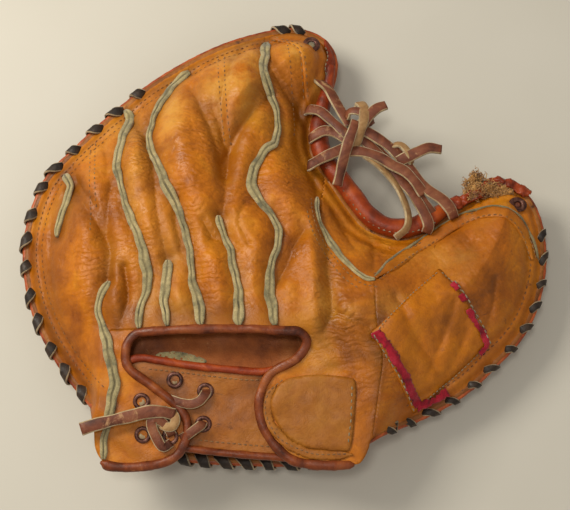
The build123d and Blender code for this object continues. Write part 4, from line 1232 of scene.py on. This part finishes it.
# crimson edging of the thumb patch: route, width, section, thickness, ragged edge and CAD nodes
EDGINGS = {
    "left": ([(50, -60.5), (56, -68.5), (64.5, -82), (74.5, -99)], 5.0, "both", 0.9, 0.9,
             ("thumb_patch_edging",)),
    "right": ([(103, -46), (107, -52.5), (114.5, -62), (113, -66), (110, -69)], 3.4, THUMB, 0.8, 0.9, ()),
    "low": ([(74, -99), (80, -97), (86, -94), (92, -90.5)], 4.2, THUMB, 0.8, 1.0, ()),
    "spot_0": ([(94.5, -32.5), (97.5, -36)], 3.4, THUMB, 0.8, 0.5, ()),
    "spot_1": ([(98.5, -38.5), (101, -42)], 3.4, THUMB, 0.8, 0.5, ()),
}
for place, (route, width, where, thick, ragged, nodes) in EDGINGS.items():
    ribbon("patch_edging_" + place, route, width, crimson, where, nodes, 2.2, thick, ragged)
PATCH_EDGE_SEAM = [
    [(48.5, -62.5), (53.5, -71), (62, -84.5), (72, -102)],
    [(95.5, -31), (104, -43.5), (112, -55), (117, -63.5)],
]
stitch_row("patch_edge_seam", PATCH_EDGE_SEAM, thread_grey, "both", spacing=3.0, size=(2.3, 0.7, 0.5),
           sink=2.6)

BAND = [
    (51, -30), (60, -22), (72, -11.5), (83, -4), (94, 4), (105, 10), (117, 13), (127.5, 11.5), (135.5, 6.5),
    (141, -2), (144, -14),
]
ribbon("seam_band_leather", BAND, 7.2, tan_thumb, "both", ("thumb_seam_band",), 0.75, 1.0, 0.2,
       taper=16.0)
GUSSET_STITCHES = [
    [(15, 21), (15.5, 12), (17, 4), (21, -6), (28, -17), (35, -26.5), (43, -33.5), (52, -36)],
    [(12.5, 11), (14, 3), (18, -8), (25, -19), (32, -29), (41, -36.5)],
]
stitch_row("gusset_stitches", GUSSET_STITCHES, thread, "both", spacing=3.0)
band_points = smooth(BAND, 3.0)
band_side = np.column_stack([-np.gradient(band_points[:, 1]), np.gradient(band_points[:, 0])])
band_side /= np.linalg.norm(band_side, axis=1)[:, None]
piping_side = 1.0 + 2.7 * step01(np.arange(len(band_points)) / 5.0)[:, None]
piping, piping_up = lift([tuple(p) for p in band_points + piping_side * band_side], 1.0, 1.2)
cord_edge("seam_band_piping", piping, piping_up, 0.85, suede_dark, "both", (), 0.9, 0.1)
stitch_row("seam_band_stitches", [[tuple(p) for p in band_points + side * band_side] for side in (2.2, -2.2)],
           thread, "both", spacing=3.0, sink=1.0)

D_PATCH = [
    (4, -86), (18, -84.5), (34, -86), (39, -89), (38.5, -105), (36, -124), (30, -126), (14, -124.5),
    (5, -121), (-3, -113), (-8, -102), (-6, -94), (-2, -89),
]
overlay("heel_patch_leather", D_PATCH, 1.5, 1.5, patch_pale, FINGERS, "heel_flap_patch")
HEEL_PATCH_STITCHES = [
    [(34.5, -122), (36, -110), (36.6, -98), (36.8, -90)],
]
stitch_row("heel_patch_stitches", HEEL_PATCH_STITCHES, thread_grey, FINGERS, sink=1.45)
FLAP_STITCHES = [
    [(-1, -87), (-9, -94), (-11, -103), (-8, -112), (-3, -119), (6, -124), (18, -127.5), (34, -127)],
]
stitch_row("flap_stitches", FLAP_STITCHES, thread, FINGERS, sink=1.05, spacing=3.0)
FLAP_HEM_EDGE = [
    (-5, -90), (-9, -96), (-10, -104), (-7.5, -112), (-2, -118.5), (6, -124.5), (18, -127.6), (37, -127.6),
]
ribbon("flap_hem_edge", FLAP_HEM_EDGE, 5.2, patch_pale, FINGERS, (), 0.7, 0.8, 0.5, 9.0)


# ---- rolled edges ----
points, normals = lift([(-101, -131.5)] + BINDING + [(12, -132.5), (24, -133.5), (38, -133)], 0.3, 1.0)
cord_edge("wrist_binding_roll", points, normals, 2.6, brown, FINGERS, ("wrist_binding",))
ROLL = [
    (27.5, 108), (26.5, 100), (25.5, 92), (22.5, 80), (20.5, 68), (21.5, 55), (27, 44), (34.5, 34),
    (41.5, 24), (48.5, 14.5), (57, 8), (67, 5.8), (77.5, 7.6), (87, 13), (95.5, 18.5), (103, 23.5),
]
roll_plan = smooth(ROLL, 1.0)
roll_points = np.column_stack([roll_plan, np.full(len(roll_plan), 27.5)])
along = np.linspace(0, 1, len(roll_points))
roll_size = 0.55 + 0.45 * step01(along / 0.3) * step01((1 - along) / 0.16)
roll_size += 0.03 * np.sin(along * 60)
crotch = sweep("crotch_roll_red", roll_points, (0, 0, 1), round_profile(5.7, 0.95, 20), red, roll_size)
dress(crotch, "both", ("crotch_roll_index", "crotch_roll_thumb"))


def on_roll(path, offset, step):
    """Points of a plan route along the top of the crotch roll, with upward directions."""
    route = smooth(path, step)
    return (np.column_stack([route, np.full(len(route), 31.8 + offset)]),
            np.tile([0.25, 0.25, 0.93], (len(route), 1)))


CROTCH_ROLL_STITCHES = [
    [(17.5, 66), (18, 56), (23, 44), (31, 33), (38, 22.5), (45, 12.5), (55, 4.8), (67, 1.8), (79, 3.8),
     (89, 9)],
]
stitch_row("crotch_roll_stitches", CROTCH_ROLL_STITCHES, thread_grey, "both", spacing=3.4,
           size=(1.6, 0.8, 0.6), on=on_roll, sink=-0.6)


# ---- the wrist strap ----
def strap_z(x, y):
    """Top of the wrist strap, with a long ridge, a long crease and a slanting fold."""
    z = wrist_plane(y) - 1.4 + 0.5 * np.exp(-((y + 112) / 5.0) ** 2) - 0.9 * np.exp(-((y + 96) / 6.0) ** 2)
    return z + 0.35 * waves(x, y, 20, seed=51) + 0.5 * np.exp(-(((x + 10) - (y + 92) * 1.4) / 4.0) ** 2)


STRAP = [
    (-92, -79.5), (-80, -75.5), (-69, -76.5), (-49, -79.5), (-29, -81.5), (-13, -82.5), (0, -80), (18, -76),
    (20, -100), (20, -127), (0, -128.5), (-28, -126), (-51, -123.5), (-68, -122), (-92, -120),
]
overlay("wrist_strap_leather", dense(STRAP, 5.0), 0.0, 2.2, strap_leather, FINGERS, "wrist_strap",
        spacing=1.5, above=strap_z)


def on_strap(path, offset, step=1.0):
    """Points of a plan route on the strap, with upward directions."""
    route = smooth(path, step)
    return (np.column_stack([route, strap_z(route[:, 0], route[:, 1]) + offset]),
            np.tile([0, -0.1, 0.99], (len(route), 1)))


points, normals = on_strap([(-90, -78), (-81, -75), (-69, -76.5), (-49, -79.5), (-29, -81.5), (-13, -82.5),
                            (-4, -80.5)], 0.5)
cord_edge("strap_top_roll", points, normals, 2.2, red, FINGERS, ("strap_top_binding",), 0.9,
          0.04)
points, normals = on_strap([(-92, -121), (-66, -122.5), (-51, -124.5), (-28, -127), (0, -129), (20, -129.5)],
                           -0.2)
cord_edge("strap_bottom_roll", points, normals, 2.1, brown, FINGERS, ("strap_bottom_binding",),
          0.9)
STRAP_STITCHES = [
    [(-76, -81), (-60, -82.5), (-40, -85), (-20, -87), (-8, -86)],
    [(-48, -119.5), (-28, -121.5), (-2, -123.5)],
]
stitch_row("strap_stitches", STRAP_STITCHES, thread, FINGERS, on=on_strap, spacing=3.0, sink=0.1)


# ---- the lining that shows in the wrist opening, with its bare spot ----
LINING_LOOP = [(-96, -58), (-98, -84), (-60, -92), (0, -94), (16, -84), (16, -56), (-40, -54)]
BARE_SPOT = [(-72, -71), (-62, -69.5), (-52, -71.5), (-44, -75), (-50, -78.5), (-62, -78.5), (-72, -76)]
LINING_Z = 39.0


def lining_z(x, y):
    """Top of the lining, rising into the opening."""
    return LINING_Z + 6.0 * step01((-y - 66) / 26) + 0.8 * waves(x, y, 26, seed=55)


layer("wrist_lining_sheet", LINING_LOOP, lining_z, lambda x, y: lining_z(x, y) - 2.5, 2.5, lining,
      "lining_leather", FINGERS)
bare, bare_faces = plan_mesh(smooth(BARE_SPOT, 0.9, closed=True), 1.2)
bare_z = lining_z(bare[:, 0], bare[:, 1]) + 0.3 + 0.5 * waves(bare[:, 0], bare[:, 1], 3.0, seed=57)
bare_spot = mesh_piece("lining_bare_spot", np.column_stack([bare, bare_z]), bare_faces, suede)
dress(bare_spot, FINGERS, thick=0.6)


# ---- eyelets ----
def eyelet(name, spots, radius, hole, up, where, node):
    """Rolled metal rings with a barrel down through the leather."""
    height = 0.9
    shape = [(hole * 0.92, -2.4), (hole, 0.2), (hole * 1.12, height * 0.75), ((hole + radius) / 2, height),
             (radius * 0.95, height * 0.55), (radius, 0.0), (radius * 0.96, -0.4), (hole * 1.05, -2.4)]
    turns = 32
    verts, faces = [], []
    tilt = Vector((0, 0, 1)).rotation_difference(Vector(up)).to_matrix()
    for place, stretch in spots:
        faces += [(a, d, c, b) for a, b, c, d in tube_faces(len(verts), turns, len(shape), closed=True)]
        for i in range(turns):
            c = 2 * math.pi * i / turns
            verts += [Vector(place) + tilt @ Vector((r * math.cos(c) * stretch, r * math.sin(c), h))
                      for r, h in shape]
    dress(mesh_piece(name, verts, faces, eyelet_mat), where, (node,))


def spot(x, y, raise_by, stretch=1.0, above=back_z):
    """A place on the leather, raised in mm, and a share by which the eyelet is wider than long."""
    return (x, y, float(above(np.array([x]), np.array([y]))[0]) + raise_by), stretch


def plug(name, spots, radius, material, where, up=(0, 0, 1)):
    """What shows through an eyelet's hole."""
    verts, faces, sides = [], [], 16
    tilt = Vector((0, 0, 1)).rotation_difference(Vector(up)).to_matrix()
    levels = ((0.02, 0.15), (radius * 0.6, 0.25), (radius, -0.1), (radius, -1.8))
    for place, stretch in spots:
        faces += tube_faces(len(verts), len(levels), sides) + end_caps(len(verts), len(levels), sides)
        for r, h in levels:
            for i in range(sides):
                c = 2 * math.pi * i / sides
                verts.append(Vector(place) + tilt @ Vector((r * math.cos(c) * stretch, r * math.sin(c), h)))
    attach(mesh_piece(name, verts, faces, material), where)


INDEX_TILT = (0.06, 0.15, 0.98)
THUMB_TILT = (0.1, 0.16, 0.97)
FLAP_TILT = (0, -0.13, 0.99)
eyelet("index_tip_grommet", [spot(16, 119, 2.4)], 5.3, 2.2, INDEX_TILT, FINGERS, "index_tip_eyelet")
plug("index_tip_grommet_core", [spot(16, 119, 2.2)], 2.2, thread_grey, FINGERS, INDEX_TILT)
eyelet("thumb_tip_grommet", [spot(137, 19.5, 1.2, 1.15)], 4.8, 1.9, THUMB_TILT, THUMB, "thumb_tip_eyelet")
plug("thumb_tip_grommet_core", [spot(137, 19.5, 0.8)], 1.9, lace_mat, THUMB, THUMB_TILT)
eyelet("flap_grommets", [spot(*place, 0.3) for place in ((-79, -99), (-78, -117), (-63, -118), (-67, -106))],
       4.7, 2.5, FLAP_TILT, FINGERS, "flap_eyelets")
eyelet("strap_grommets", [spot(*place, 0.3, 1.0, strap_z) for place in ((-61, -87), (-44, -93), (-45, -111))],
       4.7, 2.5, FLAP_TILT, FINGERS, "strap_eyelets")
plug("flap_grommet_cores", [spot(-79, -99, -0.2), spot(-78, -117, -0.2), spot(-61, -87, -0.2, 1, strap_z)], 2.3,
     raw_edge_dark, FINGERS)


# ---- laces ----
# of each lace: its route, width, the upward directions along it, and the CAD node it stands for
WEB_LACES = {
    "web_strand_tip": (
        [(19, 97, 30), (21, 95, 33.5), (26, 90, 34.5), (31, 81, 34), (35, 73, 35), (38, 66, 37)],
        6.0, [(0.5, 0.3, 0.8), (0.2, 0.1, 1), (0.1, 0, 1)], "web_lace_index"),
    "web_strand_upper": (
        [(13, 78, 30), (15, 77.5, 34), (21, 75.5, 36), (28, 69, 36.5), (36, 61, 37.5), (42, 56, 38)],
        6.0, [(-0.3, 0.2, 1), (0, 0, 1), (0, 0, 1)], None),
    "web_strand_middle": (
        [(15, 60, 30), (16.5, 60.5, 33.5), (23, 63.5, 35.5), (30, 62, 36), (37, 57, 37)],
        6.0, [(-0.3, 0, 1), (0, 0, 1)], None),
    "web_strand_lower": (
        [(14, 42.5, 32), (15.5, 43, 34.5), (22, 46.5, 35.5), (29, 49.5, 36.5), (36, 53, 36)],
        6.5, [(-0.2, 0.1, 1), (0, 0, 1)], None),
    "web_strand_a": (
        [(40, 63.5, 40), (48, 61, 41), (60, 53, 40.5), (68, 45.5, 39.5), (75, 36, 38.5), (83, 27, 37),
         (92, 21, 35.5), (97, 15, 34.5), (99, 11, 31.5)], 6.6, (0, 0, 1), "web_lace_thumb"),
    "web_strand_b": (
        [(41, 60, 39), (49, 54, 38.5), (58, 45, 37.5), (66, 35, 36.5), (74, 25, 36), (80, 15, 35.8),
         (83.5, 6, 35.5), (82.5, 2, 32.0)], 6.2, [(0, 0, 1), (0.1, 0.05, 1)], None),
    "web_strand_c": (
        [(36, 49, 39.5), (42, 49, 41), (49, 47.5, 41.4), (56, 44.5, 41.6), (63, 40, 41.5), (70, 36.5, 41),
         (76, 30.5, 39.5), (81, 24, 36.5)], 6.4, (0, 0, 1), None),
    "web_strand_d": (
        [(48, 59, 37.5), (58, 48, 36), (66, 38, 35), (74, 30, 34.4), (82, 19, 33.8), (88, 12, 30)],
        5.6, (0, 0, 1), None),
    "web_knot_band": (
        [(41.5, 77, 36), (44, 79.5, 39), (46.5, 74, 44.5), (46, 66, 45.5), (43.5, 58, 44), (40.5, 52, 40.5),
         (38, 50.5, 36.5)], 6.0, [(0, 0.9, 0.4), (0, 0.4, 1), (0.5, 0, 0.9), (0.3, -0.3, 0.9)], "web_knot"),
    "web_knot_cross": (
        [(36.5, 70, 39), (38, 73, 42), (43, 72.5, 44.6), (48.5, 70, 43), (51, 66, 39)],
        5.0, [(-0.5, 0.5, 0.8), (0, 0, 1), (0.5, -0.3, 0.8)], None),
    "web_tail_up": (
        [(44, 63, 42.5), (47, 67, 44.5), (50.5, 71, 45), (54.5, 74.3, 45), (59.5, 76.3, 44.4)],
        6.6, [(0.3, 0, 1), (-0.1, 0.2, 1)], "web_lace_tails"),
    "web_tail_right": (
        [(66, 43, 40), (71, 44.8, 42), (77, 47.3, 43.4), (84, 50, 43.8), (91.5, 49.2, 43)],
        6.6, [(0.2, -0.2, 1), (0, 0.2, 1)], None),
    "web_tail_down": (
        [(41.5, 66, 45.5), (39.5, 60, 46.2), (36.6, 52, 45.2), (34, 43, 42.5), (32, 35, 39.5),
         (30.5, 29, 37.5)], 6.2, [(0.1, 0, 1), (0.35, 0, 0.95)], None),
    "web_tail_thin": (
        [(46, 47, 40), (53, 42.5, 39.5), (59.5, 36, 38.6), (65, 29, 37.5), (69.5, 20, 36.6), (71.8, 11, 36.2),
         (70.5, 3.5, 36.4), (64, -2.5, 37)], 4.4, [(0.4, 0.2, 0.9), (0.55, 0.1, 0.8), (0.6, 0, 0.75)], None),
    "web_loop_small": (
        [(62, 52, 38.5), (66, 53, 41.5), (69.5, 51, 42.8), (73, 46, 42), (74, 42, 39)],
        4.4, [(0, 0.6, 0.8), (0, 0.5, 0.9), (0.5, 0.3, 0.8)], None),
}
WRIST_LACES = {
    "wrist_lace_bridge": (
        [(-43.5, -92.5, 46.5), (-43.8, -94.8, 50.2), (-47, -99, 51.2), (-52, -100.6, 51), (-57, -99.8, 51),
         (-62, -98.2, 50), (-66, -97, 47.5)], 5.4, FLAP_TILT, "wrist_lace"),
    "wrist_lace_low": (
        [(-45.5, -110, 45.5), (-46.2, -112, 49), (-49.5, -114.5, 49.6), (-53, -117, 48.8), (-57, -119, 46.5)],
        5.2, FLAP_TILT, None),
    "wrist_lace_loop": (
        [(-62, -117, 47.5), (-63.5, -114.5, 50.5), (-67, -110.5, 52), (-72, -109, 53.6), (-72.6, -113, 52.6),
         (-70, -119, 51.5), (-66.5, -124, 50.2), (-62.5, -121.5, 48.2)], 5.6, FLAP_TILT, None),
    "wrist_lace_knot": (
        [(-61.5, -105, 50.5), (-59.8, -109, 52.3), (-61.5, -113, 52.2), (-66, -112.6, 51.4),
         (-69, -109.4, 50.2)], 5.0, FLAP_TILT, None),
    "wrist_lace_tail_end": (
        [(-60.5, -106.4, 51.8), (-67, -105.2, 54.2), (-75, -105.4, 54.8), (-84, -107.6, 54.8),
         (-95, -110.2, 54.6), (-104, -112.4, 54.2), (-111, -114.6, 53.6)], 7.0, FLAP_TILT, "wrist_lace_tail"),
}
PALE_LACES = ("web_knot_band", "web_tail_thin", "web_loop_small", "wrist_lace_knot")
TAIL_THICK = 2.0
WEB_THICK = 1.9
WRIST_THICK = 1.8
for laces, where, thick in ((WEB_LACES, "both", WEB_THICK), (WRIST_LACES, FINGERS, WRIST_THICK)):
    for name, (route, width, ups, node) in laces.items():
        material = lace_pale if name in PALE_LACES else lace_mat
        ply = TAIL_THICK if name == "wrist_lace_tail_end" else thick
        strip = lace(name, route, material, raw_edge, width, ply, ups)
        dress(strip, where, (node,) if node else ())

# ---- the perimeter lace: one strap over the rim at each stitch ----
WHIPS = [
    (8, 131), (-2, 131), (-88, 90), (-101, 78), (-113, 66), (-126, 53), (-135, 40), (-142, 29), (-148, 14),
    (-151, -2), (-151, -18), (-147, -34), (-142, -50), (-134, -65), (-126, -79), (-115, -92),
]
LOW_WHIPS = [
    (-70, -125), (-58, -128), (-46, -129), (-34, -130), (-22, -131), (-10, -131), (2, -131), (14, -130.5),
]
THUMB_WHIPS = [
    (153, 2), (152, -12), (150, -26), (146, -40), (139, -53), (130, -66), (120, -77), (109, -87), (97, -96),
    (84, -102), (71, -108), (58, -114),
]


# one turn of the lace, from the back over the rim and under the palm: outwards, up and along the rim
WHIP_TURN = [
    (-4.6, 0.4, -0.9), (-3.2, 2.0, -0.6), (-0.8, 2.9, -0.1), (1.6, 2.2, 0.3), (2.6, -0.2, 0.5),
    (1.6, -2.6, 0.7), (-1.2, -3.4, 0.9), (-4.0, -3.6, 1.1), (-5.2, -2.2, 1.2),
]
WHIP_FACING = [(-0.2, 3), (-0.1, 3), (0, 3), (2, 2), (3, 0), (2, -2), (0, -3), (0, -3), (-1, -3)]


def whips(name, spots, where, nodes, width, lower=0.0, reach=(1.0, 1.0)):
    """Turns of dark lace at the rim, lowered outwards and scaled inside and outside of the rim."""
    pieces = []
    for i, (x, y) in enumerate(spots):
        near = int(np.argmin(np.hypot(rim_fine[:, 0] - x, rim_fine[:, 1] - y)))
        p, out = rim_points[near], np.array([*rim_out[near], 0])
        lean = (4.2 + 1.2 * math.sin(i * 2.3)) * np.array([-out[1], out[0], 0])
        route = [p + out * a * reach[a > 0] + np.array([0, 0, b - lower * max(0.0, a + 4.6) / 4]) + c * lean
                 for a, b, c in WHIP_TURN]
        ups = [out * a * 0.3 + np.array([0, 0, b * 0.3]) + 0.001 for a, b in WHIP_FACING]
        pieces.append(lace(f"{name}_{i}", route, dark_lace, raw_edge_dark, width, 1.3, ups, 1.0))
    dress(join(name, pieces), where, nodes)


whips("perimeter_lacing", WHIPS, FINGERS, ("perimeter_lace",), 6.0, reach=(0.72, 0.9))
whips("heel_lacing", LOW_WHIPS, FINGERS, (), 6.0)
whips("thumb_lacing", THUMB_WHIPS, "both", ("thumb_perimeter_lace",), 4.2, 0.8, (0.6, 0.75))


# ---- frayed stuffing and torn edge at the thumb's tip ----
FIBRES = 900


def strands(name, seeds, material):
    """Curled fibres as thin four-sided tubes, each from a base, direction, length and radius."""
    verts, faces = [], []
    n, sides, curl = 12, 4, 0.65
    for base, direction, length, radius in seeds:
        p = np.array(base, float)
        d = np.array(direction, float)
        axis = rng.standard_normal(3)
        path = []
        for _ in range(n):
            path.append(p.copy())
            axis = axis * 0.9 + rng.standard_normal(3) * 0.35
            d = d + np.cross(axis, d) * curl
            d /= np.linalg.norm(d) + 1e-9
            p = p + d * length / n
        path = np.array(path)
        t = np.gradient(path, axis=0)
        t /= np.linalg.norm(t, axis=1)[:, None]
        s = np.cross(t, [0.3, 0.2, 0.9])
        s /= np.linalg.norm(s, axis=1)[:, None] + 1e-9
        u = np.cross(s, t)
        faces += tube_faces(len(verts), n, sides) + end_caps(len(verts), n, sides)
        for i in range(n):
            w = radius * (1 - 0.6 * i / n)
            for k in range(sides):
                c = k * math.pi / 2
                verts.append(path[i] + s[i] * w * math.cos(c) + u[i] * w * math.sin(c))
    return mesh_piece(name, verts, faces, material)


tuft = []
for _ in range(FIBRES):
    u = rng.uniform(0, 1)
    x = 106 + 28 * u
    top = 34 + 7 * math.exp(-((x - 113) / 4.5) ** 2) - 4 * step01((x - 118) / 16)
    y = rng.uniform(22 + 4 * u, float(top))
    z = 27 + rng.uniform(0, 6) * (1 - abs(u - 0.3))
    tuft.append(((x, y, z), (rng.normal(0, 0.6), rng.normal(0.5, 0.5), rng.normal(0.2, 0.5)),
                 rng.uniform(2.5, 7.0), rng.uniform(0.16, 0.36)))
dress(strands("frayed_stuffing_fibres", tuft, stuffing_mat), THUMB, ("frayed_stuffing",))


def rag(name, loop, z, material, nodes, crumple, seed):
    """A torn, crumpled scrap."""
    line = smooth(loop, 0.8, closed=True)
    gen = np.random.default_rng(seed)
    points, faces = plan_mesh(line + gen.normal(0, 0.28, line.shape), 1.1)
    x, y = points[:, 0], points[:, 1]
    height = z + crumple * (0.6 * waves(x, y, 7.0, seed=seed + 60) + 0.4 * waves(x, y, 3.4, seed=seed + 61))
    dress(mesh_piece(name, np.column_stack([points, height]), faces, material), THUMB, nodes, 1.3, 0.0)


LEFT_RAG = [
    (94, 18), (98, 21), (101, 24.5), (106, 25.5), (111, 29), (117, 29), (118, 25), (110, 21.5), (102, 17),
]
RIGHT_RAG = [
    (114, 28), (118, 34), (123, 37), (130, 36.5), (137, 34), (143, 31), (146, 27.5), (141, 25), (133, 30),
    (124, 30), (117, 26),
]
WAD = [
    (106, 24), (108, 31), (111, 38), (115, 38), (119, 33), (127, 32), (135, 29), (130, 26), (118, 24),
]
rag("torn_edge_left", LEFT_RAG, 30.0, red, (), 1.6, 3)
rag("torn_edge_right", RIGHT_RAG, 28.5, red, ("thumb_torn_edge",), 1.8, 5)
rag("stuffing_wad", WAD, 28.8, stuffing_mat, (), 2.4, 9)
